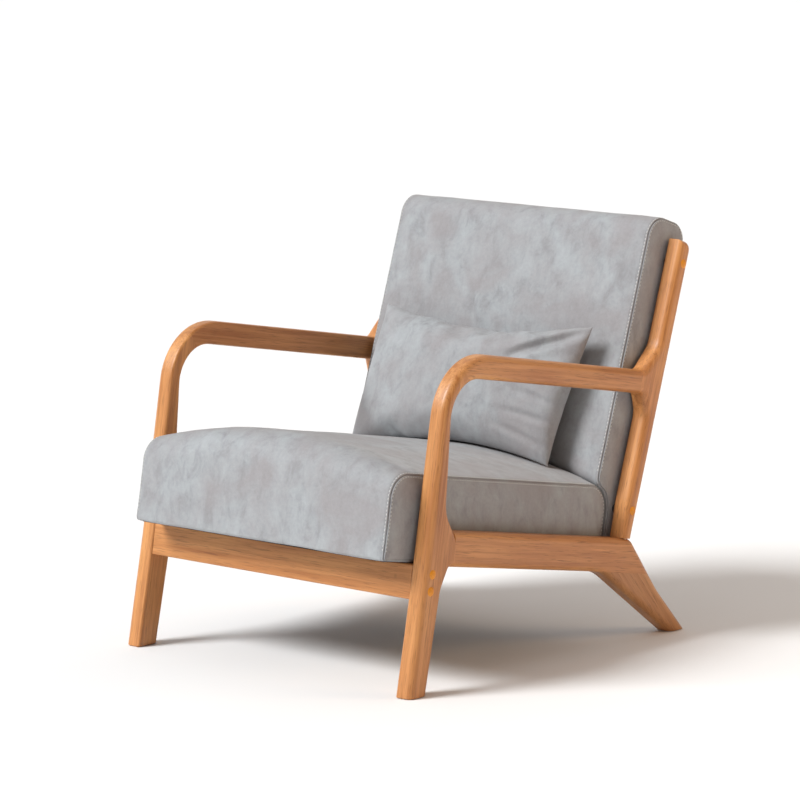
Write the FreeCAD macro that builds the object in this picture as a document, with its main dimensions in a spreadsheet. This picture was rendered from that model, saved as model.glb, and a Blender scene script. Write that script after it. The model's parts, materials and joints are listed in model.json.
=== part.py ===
import FreeCAD, Part
import math
import os
import re
import Sketcher

# Wooden armchair. Millimetres and degrees. +Z is up, the chair faces -Y, +X is the sitter's left.
# The origin is on the floor, in the middle of the chair's plan.
# Every wooden side frame is planar, so its outlines are drawn in the Y-Z plane and padded along X.

SIZES = {
    # Overall
    "overall_width": 660,
    "frame_thick": 33,            # every member of a side frame, along X
    "front_reach": 342,           # from the origin forward to the line of the front rail's bolts
    "rear_reach": 219,            # from the origin back to the waist, where post, rail and rear leg meet
    "seat_slope": 9.5,            # rail, seat and armrest all fall towards the back by this angle
    "rail_top_height": 226,       # top of the side rail above the floor, at the origin
    "rail_depth": 61.5,
    "arm_top_height": 531.4,      # top of the armrest above the floor, at the origin
    "arm_depth": 42,
    # Front leg
    "knee_height": 200,
    "knee_front": 16.5,           # leg's front edge ahead of the bolt line, at the knee
    "knee_back": 34.5,            # leg's rear edge behind the bolt line, at the knee
    "leg_rake": 9.6,              # front edge above the knee
    "shin_rake": 10.95,           # front edge below the knee
    "thigh_back_rake": 4.2,       # rear edge above the rail
    "calf_back_rake": 12.2,       # rear edge below the rail
    "gusset_low_drop": 39,        # where the leg starts to widen, below the corner under the rail
    "gusset_low_reach": 50,
    "gusset_high_rise": 29,       # where the widening ends, above the corner over the rail
    "leg_seam_reach": 62,         # glued seam between leg and rail, behind the bolt line
    "bend_outer_radius": 112,
    "bend_inner_radius": 68,
    "bend_seam_angle": 31,        # glued seam between leg and armrest, from the vertical
    "gusset_low_radius": 40,
    "gusset_high_radius": 60,
    "gusset_heel_radius": 9,
    # Rear leg
    "rear_knee_height": 88,
    "rear_thigh_rake": 38.2,
    "rear_shin_rake": 44.8,
    "rear_under_rake": 55.6,
    "rear_foot_length": 45.5,
    "rear_knee_radius": 250,
    "rear_bend_radius": 120,
    "waist_radius": 26,
    "rear_seam_setback": 46,      # shoulder of the rear leg's seam, ahead of the bend's corner
    # Back post
    "back_lean": 18,
    "post_depth": 32.2,
    "post_length": 542,
    "post_foot_depth": 27,
    "post_taper": 72,
    "lug_seam_ahead": 30,
    "lug_low_ahead": 20,
    "lug_low_drop": 32,
    "lug_high_ahead": 28,
    "lug_high_rise": 44,
    "lug_low_radius": 40,
    "lug_heel_radius": 9,
    "lug_high_radius": 50,
    "lug_toe_radius": 14,
    "post_top_radius": 16,
    # Rounding of the frame's long edges
    "outer_round": 12,
    "inner_round": 5,
    # Feet
    "glide_radius": 9,
    "glide_thick": 3,
    "glide_proud": 1.5,
    # Front rail
    "front_rail_thick": 30,
    "front_rail_depth": 59.5,
    "front_rail_round": 3,
    # Fasteners
    "hole_clearance": 0.2,
    "bolt_radius": 4,
    "bolt_head_radius": 6.5,
    "bolt_head_thick": 5,
    "counterbore_radius": 7,
    "counterbore_depth": 10,
    "cap_radius": 8.2,
    "cap_dome": 3,
    "cap_stem": 4,
    "bolt_line_shift": 6.5,       # from where the bolt line crosses the seat's underside, back to the bolts
    "leg_bolt_high": 13,          # bolts of the front rail, below the seat's underside
    "leg_bolt_low": 41.8,
    "leg_bolt_grip": 45,          # how far a leg bolt runs into the front rail
    "barrel_nut_radius": 5.5,
    "barrel_nut_length": 20,
    "barrel_nut_inset": 36,
    "post_bolt_low": 48.4,        # bolts of the back, above the waist, along the post
    "post_bolt_high": 501.3,
    "insert_radius": 5.5,
    "insert_length": 12,
    "insert_flange": 2,
    "spacer_radius": 9,
    "seat_bolt_from_rear": 132,
    "screw_radius": 2.5,
    "screw_head_radius": 5,
    "screw_head_thick": 3,
    "screw_bore_depth": 22,
    "screw_spacing": 300,
    "screw_bite": 24,
    "dowel_radius": 4,
    "dowel_length": 36,
    "dowel_gap": 0.1,
    "dowel_end_gap": 1,
    "dowel_spread": 15,
    "arm_dowel_depth": 14,        # dowels of the arm's bend, below its outer edge
    "rear_dowel_front": 63,       # dowels of the rear leg, behind its bend's corner
    "rear_dowel_rear": 102,
    "bolt_tip_gap": 2,            # between a bolt's tip and the end of its insert
    "overrun": 1,                 # how far a cutter passes beyond the face that it opens
    # Upholstery
    "cover_thick": 2,
    "seat_side_gap": 12,          # between the seat and a side frame
    "seat_overhang": 73,          # seat's lower front edge ahead of the bolt line
    "seat_rear_inset": 42,        # seat's lower rear edge ahead of the waist
    "seat_side_height": 151,
    "seat_crown": 42,
    "seat_front_radius": 60,
    "seat_rear_radius": 50,
    "dust_cover_thick": 1,
    "dust_cover_inset": 8,
    "bottom_hem": 25,
    "seat_bar_width": 40,
    "seat_bar_depth": 30,
    "corner_block": 36,
    "strap_width": 60,
    "strap_thick": 1.5,
    "strap_end": 6,
    "back_side_gap": 7,           # between the back and a post
    "back_thick": 110,
    "back_behind_post": 28,
    "back_top": 576,
    "back_bottom": 14,
    "back_front_radius": 40,
    "back_rear_radius": 35,
    "seat_back_gap": 1,           # between the seat and the back's notch over it
    "back_bar_thick": 24,
    "back_bar_width": 47,
    "stile_width": 30,
    "nut_pocket_depth": 5,        # beside a stile, in the bottom bar's ends
    "back_frame_low": 25,
    "back_frame_top_gap": 14,
    "pillow_width": 475,
    "pillow_height": 238,
    "pillow_thick": 96,
    "pillow_round": 36,
    "pillow_gap": 1.5,            # behind and below the pillow
    "pillow_shift": 11,           # off the middle, towards the sitter's right
    "pillow_cover_thick": 1.5,
}

doc = FreeCAD.newDocument("Armchair")
sheet = doc.addObject("Spreadsheet::Sheet", "Sheet")
for row, (alias, size) in enumerate(SIZES.items(), start=1):
    sheet.set(f"A{row}", alias)
    sheet.set(f"B{row}", str(size))
    sheet.setAlias(f"B{row}", alias)
doc.recompute()


def bound(text):
    """An expression in plain aliases, with each alias pointed at the sheet."""
    return re.sub(r"[a-z_]+", lambda word: "Sheet." + word[0] if word[0] in SIZES else word[0], text)


def value(text):
    """The number that an expression in plain aliases gives."""
    return float(sheet.evalExpression(bound(text)))


def bind(feature, **expressions):
    """Bind properties to the sheet; a double underscore stands for a dot."""
    for name, text in expressions.items():
        feature.setExpression(name.replace("__", "."), bound(text))


# ---------------------------------------------------------------- lines of the side frame
# A steep line is y = a + b z, and a shallow line is z = c + d y. All four are expressions.

def steep(y, z, angle):
    """Line through (y, z) that leans back by the angle from the vertical."""
    return f"({y} - ({z}) * tan({angle}))", f"tan({angle})"


def shallow(z):
    """Line at height z at the origin that falls towards the back with the seat."""
    return f"({z})", "-tan(seat_slope)"


def corner(steep_line, shallow_line):
    a, b = steep_line
    c, d = shallow_line
    y = f"(({a} + {b} * {c}) / (1 - ({b}) * ({d})))"
    return y, f"({c} + ({d}) * {y})"


def on_steep(line, z):
    return f"({line[0]} + {line[1]} * ({z}))", f"({z})"


def on_shallow(line, y):
    return f"({y})", f"({line[0]} + ({line[1]}) * ({y}))"


RAIL_TOP = shallow("rail_top_height")
RAIL_UNDER = shallow("rail_top_height - rail_depth / cos(seat_slope)")
ARM_TOP = shallow("arm_top_height")
ARM_UNDER = shallow("arm_top_height - arm_depth / cos(seat_slope)")

LEG_FRONT = steep("-front_reach - knee_front", "knee_height", "leg_rake")
SHIN_FRONT = steep("-front_reach - knee_front", "knee_height", "shin_rake")
LEG_BACK = steep("-front_reach + knee_back", "knee_height", "thigh_back_rake")
SHIN_BACK = steep("-front_reach + knee_back", "knee_height", "calf_back_rake")

WAIST = on_shallow(RAIL_TOP, "rear_reach")
POST_FRONT = steep(f"{WAIST[0]} - post_depth / cos(back_lean)", WAIST[1], "back_lean")

SOLE = "glide_proud"
LEG_SEAM = "-front_reach + leg_seam_reach"

# A frame is an origin in Y-Z and the angle by which it is tipped back about X.
# In it, u runs rearwards and w runs upwards.
SEAT = (*on_shallow(RAIL_UNDER, "-front_reach - seat_overhang"), "seat_slope")
BACK = (*WAIST, "back_lean")
FLOOR = ("0", "0", "0")


def seat_u(y, w):
    """Distance u in the seat's frame of the point at depth y and height w above the seat's underside."""
    return f"(({y} + front_reach + seat_overhang) / cos(seat_slope) - ({w}) * tan(seat_slope))"


BEND_OUTER = corner(LEG_FRONT, ARM_TOP)
BEND = (
    f"{BEND_OUTER[0]} + bend_outer_radius * (cos(seat_slope) - sin(leg_rake))",
    f"{BEND_OUTER[1]} - bend_outer_radius * (sin(seat_slope) + cos(leg_rake))",
    "-bend_seam_angle",
)

BOLT_U = "(seat_overhang * cos(seat_slope) + bolt_line_shift)"
HALF = "overall_width / 2"
INNER = "(overall_width / 2 - frame_thick)"
SEAT_HALF = f"({INNER} - seat_side_gap)"
BACK_HALF = f"({INNER} - back_side_gap)"


# ---------------------------------------------------------------- building blocks

TURNS = {
    "w": lambda angle: ((1, 0, 0), f"-({angle})"),
    "u": lambda angle: ((1, 0, 0), f"-90 - ({angle})"),
    "x": lambda angle: ((0, 1, 0), "90"),
}


def place(feature, frame, x, u, w, along="w"):
    """Put a feature at (x, u, w) of a frame, with its own Z along one of the frame's axes."""
    y0, z0, angle = frame
    axis, turn = TURNS[along](angle)
    feature.Placement = FreeCAD.Placement(
        FreeCAD.Vector(0, 0, 0), FreeCAD.Rotation(FreeCAD.Vector(*axis), value(turn)))
    bind(
        feature,
        Placement__Base__x=x,
        Placement__Base__y=f"{y0} + ({u}) * cos({angle}) + ({w}) * sin({angle})",
        Placement__Base__z=f"{z0} - ({u}) * sin({angle}) + ({w}) * cos({angle})",
        Placement__Rotation__Angle=turn,
    )
    return feature


def box(name, frame, x, u, w):
    """Box between the given pairs of expressions along x, u and w."""
    block = doc.addObject("Part::Box", name)
    bind(
        block,
        Length=f"({x[1]}) - ({x[0]})",
        Width=f"({u[1]}) - ({u[0]})",
        Height=f"({w[1]}) - ({w[0]})",
    )
    return place(block, frame, x[0], u[0], w[0])


def rod(name, frame, radius, length, x, u, w, along):
    """Cylinder that starts at (x, u, w) and runs along one of the frame's axes."""
    cylinder = doc.addObject("Part::Cylinder", name)
    bind(cylinder, Radius=radius, Height=length)
    return place(cylinder, frame, x, u, w, along)


def fuse(name, *pieces):
    joined = doc.addObject("Part::MultiFuse", name)
    joined.Shapes = list(pieces)
    return joined


def cut(name, base, *tools):
    result = doc.addObject("Part::Cut", name)
    result.Base = base
    result.Tool = tools[0] if len(tools) == 1 else fuse(name + "_tools", *tools)
    return result


def common(name, first, second):
    result = doc.addObject("Part::Common", name)
    result.Base = first
    result.Tool = second
    return result


def group(name, pieces):
    """Identical separate pieces in one node."""
    compound = doc.addObject("Part::Compound", name)
    compound.Links = list(pieces)
    return compound


def origin_plane(body, role):
    return next(item for item in body.Origin.OriginFeatures if item.Role == role)


def sketch_on(body, name, role):
    sketch = body.newObject("Sketcher::SketchObject", name)
    sketch.AttachmentSupport = [(origin_plane(body, role), "")]
    sketch.MapMode = "FlatFace"
    return sketch


def tie(sketch, kind, targets, text):
    """Add a dimension and bind it to the sheet."""
    index = sketch.addConstraint(Sketcher.Constraint(kind, *targets, value(text)))
    sketch.setExpression(f"Constraints[{index}]", bound(text))


def polygon(sketch, corners):
    """Closed outline whose corners are pairs of expressions."""
    points = [FreeCAD.Vector(value(a), value(b), 0) for a, b in corners]
    count = len(points)
    for index in range(count):
        sketch.addGeometry(Part.LineSegment(points[index], points[(index + 1) % count]), False)
    for index in range(count):
        sketch.addConstraint(Sketcher.Constraint("Coincident", index, 2, (index + 1) % count, 1))
    for index, (a, b) in enumerate(corners):
        tie(sketch, "DistanceX", (-1, 1, index, 1), a)
        tie(sketch, "DistanceY", (-1, 1, index, 1), b)


def pad(body, sketch, length, midplane=False):
    feature = body.newObject("PartDesign::Pad", sketch.Name + "_pad")
    feature.Profile = sketch
    feature.Midplane = midplane
    bind(feature, Length=length)
    doc.recompute()
    return feature


def fillet(body, name, base, edges, radius):
    feature = body.newObject("PartDesign::Fillet", name)
    feature.Base = (base, edges)
    bind(feature, Radius=radius)
    doc.recompute()
    return feature


def edges_through(shape, corners):
    """Names of the edges along X that pass through the given corners of the outline."""
    names = []
    for a, b in corners:
        y, z = value(a), value(b)
        for number, edge in enumerate(shape.Edges, start=1):
            ends = [vertex.Point for vertex in edge.Vertexes]
            if len(ends) == 2 and all(math.hypot(p.y - y, p.z - z) < 0.01 for p in ends):
                names.append(f"Edge{number}")
    return names


def rim_edges(shape, x, skipped):
    """Names of the edges in the plane at x, without the straight sides between skipped corners."""
    middles = []
    for (y0, z0), (y1, z1) in skipped:
        middles.append(((value(y0) + value(y1)) / 2, (value(z0) + value(z1)) / 2))
    names = []
    for number, edge in enumerate(shape.Edges, start=1):
        if any(abs(vertex.X - x) > 0.001 for vertex in edge.Vertexes):
            continue
        middle = edge.BoundBox.Center
        if all(math.hypot(middle.y - y, middle.z - z) > 1 for y, z in middles):
            names.append(f"Edge{number}")
    return names


def frame_member(name, corners, rounds, open_sides):
    """Planar member of the left side frame: an outline, its bends, then its rounded long edges."""
    body = doc.addObject("PartDesign::Body", name)
    sketch = sketch_on(body, name + "_outline", "YZ_Plane")
    polygon(sketch, corners)
    feature = pad(body, sketch, "frame_thick")
    for radius, indices in rounds:
        edges = edges_through(feature.Shape, [corners[index] for index in indices])
        feature = fillet(body, f"{name}_{radius}", feature, edges, radius)
    skipped = [(corners[first], corners[second]) for first, second in open_sides]
    thick = value("frame_thick")
    feature = fillet(
        body, name + "_outer_edges", feature, rim_edges(feature.Shape, thick, skipped), "outer_round")
    fillet(body, name + "_inner_edges", feature, rim_edges(feature.Shape, 0, skipped), "inner_round")
    bind(body, Placement__Base__x=INNER)
    return body


def dowel(name, frame, side_shift, u, w, along):
    """A dowel and the hole for it, centred on a glued seam."""
    start = {"u": u, "w": w}
    pair = []
    for suffix, gap, end_gap in (("", "0", "0"), ("_hole", "dowel_gap", "dowel_end_gap")):
        start_at = dict(start)
        start_at[along] = f"{start[along]} - dowel_length / 2 - {end_gap}"
        pair.append(rod(
            name + suffix, frame, f"dowel_radius + {gap}", f"dowel_length + 2 * {end_gap}",
            f"{HALF} - frame_thick / 2 + {side_shift}", start_at["u"], start_at["w"], along))
    return pair


# ---------------------------------------------------------------- left side frame, before its holes

LEG_TOP_CORNER = corner(LEG_BACK, RAIL_TOP)
LEG_LOW_CORNER = corner(SHIN_BACK, RAIL_UNDER)
POST_ARM_TOP = corner(POST_FRONT, ARM_TOP)
POST_ARM_UNDER = corner(POST_FRONT, ARM_UNDER)
LUG_SEAM = f"{POST_ARM_UNDER[0]} - lug_seam_ahead"

leg_corners = [
    on_steep(SHIN_FRONT, SOLE),
    on_steep(SHIN_FRONT, "knee_height"),
    BEND_OUTER,
    on_shallow(ARM_TOP, LUG_SEAM),
    on_shallow(ARM_UNDER, LUG_SEAM),
    corner(LEG_BACK, ARM_UNDER),
    on_steep(LEG_BACK, f"{LEG_TOP_CORNER[1]} + gusset_high_rise"),
    on_shallow(RAIL_TOP, LEG_SEAM),
    on_shallow(RAIL_UNDER, LEG_SEAM),
    on_shallow(RAIL_UNDER, "-front_reach + gusset_low_reach"),
    on_steep(SHIN_BACK, f"{LEG_LOW_CORNER[1]} - gusset_low_drop"),
    on_steep(SHIN_BACK, SOLE),
]
leg_and_arm = frame_member(
    "leg_and_arm_blank",
    leg_corners,
    [
        ("bend_outer_radius", [2]),
        ("bend_inner_radius", [5]),
        ("gusset_high_radius", [6]),
        ("gusset_heel_radius", [9]),
        ("gusset_low_radius", [10]),
    ],
    [(11, 0), (3, 4), (7, 8)],
)

REAR_THIGH = steep(WAIST[0], WAIST[1], "-rear_thigh_rake")
REAR_KNEE = on_steep(REAR_THIGH, "rear_knee_height")
REAR_SHIN = steep(REAR_KNEE[0], REAR_KNEE[1], "-rear_shin_rake")
REAR_HEEL = on_steep(REAR_SHIN, SOLE)
REAR_UNDER = steep(f"{REAR_HEEL[0]} - rear_foot_length", SOLE, "-rear_under_rake")
REAR_BEND = corner(REAR_UNDER, RAIL_UNDER)

rail_corners = [
    on_shallow(RAIL_TOP, LEG_SEAM),
    WAIST,
    REAR_KNEE,
    REAR_HEEL,
    on_steep(REAR_UNDER, SOLE),
    REAR_BEND,
    on_shallow(RAIL_UNDER, LEG_SEAM),
]
rail_and_rear_leg = frame_member(
    "rail_and_rear_leg_blank",
    rail_corners,
    [
        ("waist_radius", [1]),
        ("rear_knee_radius", [2]),
        ("rear_bend_radius", [5]),
    ],
    [(3, 4), (6, 0)],
)

post_corners = [
    WAIST,
    on_shallow(RAIL_TOP, f"{WAIST[0]} - post_foot_depth"),
    on_steep(POST_FRONT, f"{WAIST[1]} + post_taper"),
    on_steep(POST_FRONT, f"{POST_ARM_UNDER[1]} - lug_low_drop"),
    on_shallow(ARM_UNDER, f"{POST_ARM_UNDER[0]} - lug_low_ahead"),
    on_shallow(ARM_UNDER, LUG_SEAM),
    on_shallow(ARM_TOP, LUG_SEAM),
    on_shallow(ARM_TOP, f"{POST_ARM_TOP[0]} - lug_high_ahead"),
    on_steep(POST_FRONT, f"{POST_ARM_TOP[1]} + lug_high_rise"),
    (
        f"{WAIST[0]} + post_length * sin(back_lean) - post_depth * cos(back_lean)",
        f"{WAIST[1]} + post_length * cos(back_lean) + post_depth * sin(back_lean)",
    ),
    (
        f"{WAIST[0]} + post_length * sin(back_lean)",
        f"{WAIST[1]} + post_length * cos(back_lean)",
    ),
]
back_post_blank = frame_member(
    "back_post_blank",
    post_corners,
    [
        ("lug_low_radius", [3]),
        ("lug_heel_radius", [4]),
        ("lug_toe_radius", [7]),
        ("lug_high_radius", [8]),
        ("post_top_radius", [10]),
    ],
    [(0, 1), (5, 6)],
)


# ---------------------------------------------------------------- fasteners and their holes

COUNTERBORE_FLOOR = f"{HALF} - counterbore_depth"


def bolt_from_outside(name, frame, u, w, tip_x):
    """Bolt along X with its head in a counterbore, the cap over it, and the cutters for both."""
    shank = rod(name + "_shank", frame, "bolt_radius", f"{COUNTERBORE_FLOOR} - ({tip_x})", tip_x, u, w, "x")
    head = rod(name + "_head", frame, "bolt_head_radius", "bolt_head_thick", COUNTERBORE_FLOOR, u, w, "x")
    stem = rod(
        name + "_cap_stem", frame, "counterbore_radius - dowel_gap", "cap_stem",
        f"{HALF} - cap_stem", u, w, "x")
    dome = doc.addObject("Part::Sphere", name + "_cap_dome")
    dome_radius = "(cap_radius * cap_radius + cap_dome * cap_dome) / (2 * cap_dome)"
    bind(dome, Radius=dome_radius, Angle1=f"asin(1 - cap_dome / ({dome_radius}))")
    place(dome, frame, f"{HALF} + cap_dome - {dome_radius}", u, w, "x")
    bore = rod(
        name + "_bore", frame, "bolt_radius + hole_clearance", f"{HALF} - ({tip_x}) + overrun",
        f"{tip_x} - overrun", u, w, "x")
    counterbore = rod(
        name + "_counterbore", frame, "counterbore_radius", "counterbore_depth + overrun",
        COUNTERBORE_FLOOR, u, w, "x")
    bolt = fuse(name, shank, head)
    cap = fuse(name + "_cap", stem, dome)
    return bolt, cap, [bore, counterbore]


leg_bolts = []
for tag, drop in (("upper", "leg_bolt_high"), ("lower", "leg_bolt_low")):
    leg_bolts.append(bolt_from_outside(
        f"leg_bolt_{tag}", SEAT, BOLT_U, f"-{drop}", f"{INNER} - leg_bolt_grip"))

BACK_BOLT_U = "(-post_depth / 2)"
STILE_OUTER = f"({BACK_HALF} - cover_thick)"
post_bolts = []
for tag, rise in (("lower", "post_bolt_low"), ("upper", "post_bolt_high")):
    post_bolts.append(bolt_from_outside(
        f"post_bolt_{tag}", BACK, BACK_BOLT_U, rise,
        f"{STILE_OUTER} - stile_width - insert_flange - bolt_tip_gap"))

arm_dowels = [
    dowel(
        f"arm_dowel_{tag}", BEND, f"{sign} dowel_spread / 2", "0",
        "bend_outer_radius - arm_dowel_depth", "u")
    for tag, sign in (("inner", "-"), ("outer", ""))
]
RAIL_SEAM_U = seat_u(LEG_SEAM, "rail_depth / 2")
rail_dowels = [
    dowel(f"rail_dowel_{tag}", SEAT, "0", RAIL_SEAM_U, f"rail_depth / 2 {sign} dowel_spread", "u")
    for tag, sign in (("lower", "-"), ("upper", "+"))
]
REAR_BEND_U = seat_u(REAR_BEND[0], "0")
rear_leg_dowels = [
    dowel(f"rear_leg_dowel_{tag}", SEAT, "0", f"{REAR_BEND_U} + rear_dowel_{tag}", "0", "w")
    for tag in ("front", "rear")
]
post_dowels = [
    dowel(f"post_dowel_{tag}", BACK, f"{sign} dowel_spread / 2", "-post_foot_depth / 2", "0", "w")
    for tag, sign in (("inner", "-"), ("outer", ""))
]
ARM_MIDDLE_W = "((arm_top_height - rail_top_height) * cos(seat_slope) + rail_depth - arm_depth / 2)"
lug_dowels = [
    dowel(
        f"lug_dowel_{tag}", SEAT, f"{sign} dowel_spread / 2", seat_u(LUG_SEAM, ARM_MIDDLE_W),
        ARM_MIDDLE_W, "u")
    for tag, sign in (("inner", "-"), ("outer", ""))
]


def pins(pairs):
    return [pair[0] for pair in pairs]


def holes(pairs):
    return [pair[1] for pair in pairs]


# ---------------------------------------------------------------- the left side frame's pieces

NODES = []


def node(feature):
    """Mark a feature as one of the sub-parts; its label names its file."""
    NODES.append(feature)
    return feature


def mirrored(feature):
    """The same sub-part on the sitter's right."""
    copy = doc.addObject("Part::Mirroring", feature.Name.replace("_left", "_right"))
    copy.Source = feature
    copy.Normal = FreeCAD.Vector(1, 0, 0)
    return node(copy)


FAR = "overall_width"
ACROSS = ("0", FAR)

arm_region = box("arm_region", BEND, ACROSS, ("0", FAR), (f"-{FAR}", FAR))
rear_leg_region = box(
    "rear_leg_region", SEAT, ACROSS, (f"{REAR_BEND_U} - rear_seam_setback", f"{REAR_BEND_U} + {FAR}"),
    (f"-{FAR}", "0"))
GLIDE_MIDDLES = {
    "front": f"({leg_corners[0][0]} + {leg_corners[-1][0]}) / 2",
    "rear": f"({REAR_HEEL[0]} - rear_foot_length / 2)",
}


def glide(name, y):
    """Disc under a foot, let into its sole, and the cutter for its recess."""
    x = f"{HALF} - frame_thick / 2"
    disc = rod(name + "_foot_glide_left", FLOOR, "glide_radius", "glide_thick", x, y, "0", "w")
    recess = rod(
        name + "_glide_recess", FLOOR, "glide_radius + dowel_gap", "glide_thick", x, y, "0", "w")
    return disc, recess


front_glide, front_recess = glide("front", GLIDE_MIDDLES["front"])
rear_glide, rear_recess = glide("rear", GLIDE_MIDDLES["rear"])

SEAT_REAR_U = seat_u(f"{WAIST[0]} - seat_rear_inset", "0")
SEAT_BOLT_U = f"({SEAT_REAR_U} - seat_bolt_from_rear)"
SEAT_BOLT_W = "(dust_cover_thick + cover_thick + seat_bar_depth / 2)"
SEAT_BAR_OUTER = f"({SEAT_HALF} - cover_thick)"
insert_bore = rod(
    "rail_insert_bore", SEAT, "insert_radius + dowel_gap", "insert_length + overrun",
    INNER, SEAT_BOLT_U, SEAT_BOLT_W, "x")

node(cut(
    "front_leg_left", leg_and_arm, arm_region, front_recess, *holes(arm_dowels + rail_dowels),
    *(hole for bolt in leg_bolts for hole in bolt[2])))
node(cut(
    "armrest_left", common("armrest_blank", leg_and_arm, arm_region), *holes(arm_dowels + lug_dowels)))
node(cut(
    "side_rail_left", rail_and_rear_leg, rear_leg_region, insert_bore,
    *holes(rail_dowels + rear_leg_dowels + post_dowels)))
node(cut(
    "rear_leg_left", common("rear_leg_blank", rail_and_rear_leg, rear_leg_region), rear_recess,
    *holes(rear_leg_dowels)))
node(cut(
    "back_post_left", back_post_blank, *holes(post_dowels + lug_dowels),
    *(hole for bolt in post_bolts for hole in bolt[2])))
node(group(
    "frame_dowels_left", pins(arm_dowels + rail_dowels + rear_leg_dowels + post_dowels + lug_dowels)))
node(front_glide)
node(rear_glide)
for label, bolts in (("leg", leg_bolts), ("post", post_bolts)):
    node(group(f"{label}_bolts_left", [bolt[0] for bolt in bolts]))
    node(group(f"{label}_bolt_caps_left", [bolt[1] for bolt in bolts]))

# ---------------------------------------------------------------- front rail

rail_body = doc.addObject("PartDesign::Body", "front_rail_blank")
rail_sketch = sketch_on(rail_body, "front_rail_section", "YZ_Plane")
polygon(rail_sketch, [
    (f"{BOLT_U} - front_rail_thick / 2", "-front_rail_depth"),
    (f"{BOLT_U} + front_rail_thick / 2", "-front_rail_depth"),
    (f"{BOLT_U} + front_rail_thick / 2", "0"),
    (f"{BOLT_U} - front_rail_thick / 2", "0"),
])
rail_pad = pad(rail_body, rail_sketch, f"2 * {INNER}", midplane=True)
lengthwise = [
    f"Edge{number}" for number, edge in enumerate(rail_pad.Shape.Edges, start=1)
    if edge.Length > value(INNER)
]
fillet(rail_body, "front_rail_rounding", rail_pad, lengthwise, "front_rail_round")
place(rail_body, SEAT, "0", "0", "0")

rail_cutters = []
barrel_nuts = []
seat_screws = []
seat_bar_pilots = []
SCREW_SEAT_W = "(-front_rail_depth + screw_bore_depth)"
NUT_LOW_U = f"({BOLT_U} - barrel_nut_length / 2)"
bore_starts = {"": f"{INNER} - leg_bolt_grip - overrun", "-": f"-{INNER} - overrun"}
for side, sign in (("left", ""), ("right", "-")):
    nut_x = f"{sign}({INNER} - barrel_nut_inset)"
    for tag, drop in (("upper", "leg_bolt_high"), ("lower", "leg_bolt_low")):
        name = f"{tag}_{side}"
        rail_cutters.append(rod(
            f"rail_bore_{name}", SEAT, "bolt_radius + hole_clearance", "leg_bolt_grip + 2 * overrun",
            bore_starts[sign], BOLT_U, f"-{drop}", "x"))
        rail_cutters.append(rod(
            f"barrel_bore_{name}", SEAT, "barrel_nut_radius + dowel_gap",
            "barrel_nut_length / 2 + front_rail_thick / 2 + overrun", nut_x, NUT_LOW_U, f"-{drop}", "u"))
        barrel = rod(
            f"barrel_{name}", SEAT, "barrel_nut_radius", "barrel_nut_length", nut_x, NUT_LOW_U,
            f"-{drop}", "u")
        thread = rod(
            f"barrel_thread_{name}", SEAT, "bolt_radius + dowel_gap", "2 * (barrel_nut_radius + overrun)",
            f"{nut_x} - barrel_nut_radius - overrun", BOLT_U, f"-{drop}", "x")
        barrel_nuts.append(cut(f"barrel_nut_{name}", barrel, thread))
    screw_x = f"{sign}screw_spacing / 2"
    rail_cutters.append(rod(
        f"screw_counterbore_{side}", SEAT, "screw_head_radius + hole_clearance",
        "screw_bore_depth + overrun", screw_x, BOLT_U, "-front_rail_depth - overrun", "w"))
    rail_cutters.append(rod(
        f"screw_bore_{side}", SEAT, "screw_radius + hole_clearance", "front_rail_depth + 2 * overrun",
        screw_x, BOLT_U, "-front_rail_depth - overrun", "w"))
    seat_bar_pilots.append(rod(
        f"screw_pilot_{side}", SEAT, "screw_radius + dowel_gap", "screw_bite + 2 * overrun", screw_x,
        BOLT_U, "-overrun", "w"))
    screw_shank = rod(
        f"screw_shank_{side}", SEAT, "screw_radius", f"screw_bite - {SCREW_SEAT_W}", screw_x, BOLT_U,
        SCREW_SEAT_W, "w")
    screw_head = rod(
        f"screw_head_{side}", SEAT, "screw_head_radius", "screw_head_thick", screw_x, BOLT_U,
        f"{SCREW_SEAT_W} - screw_head_thick", "w")
    seat_screws.append(fuse(f"seat_screw_{side}", screw_shank, screw_head))
node(cut("front_rail", rail_body, *rail_cutters))
node(group("barrel_nuts", barrel_nuts))
node(group("seat_screws", seat_screws))


# ---------------------------------------------------------------- upholstery

def soft_block(name, frame, profile, rounds, front):
    """Cushion body: a rounded side outline, cut to a front outline that may be crowned."""
    side_body = doc.addObject("PartDesign::Body", name + "_side")
    side_sketch = sketch_on(side_body, name + "_side_outline", "YZ_Plane")
    polygon(side_sketch, profile)
    feature = pad(side_body, side_sketch, "overall_width", midplane=True)
    for radius, index in rounds:
        edges = edges_through(feature.Shape, [profile[index]])
        feature = fillet(side_body, f"{name}_round_{index}", feature, edges, radius)
    front_body = doc.addObject("PartDesign::Body", name + "_front")
    front_sketch = sketch_on(front_body, name + "_front_outline", "XZ_Plane")
    half, low, high, crown = front
    if crown is None:
        polygon(front_sketch, [(f"-({half})", low), (half, low), (half, high), (f"-({half})", high)])
    else:
        crowned_outline(front_sketch, half, low, high, crown)
    pad(front_body, front_sketch, "4 * overall_width", midplane=True)
    block = common(name, side_body, front_body)
    return place(block, frame, "0", "0", "0")


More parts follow.
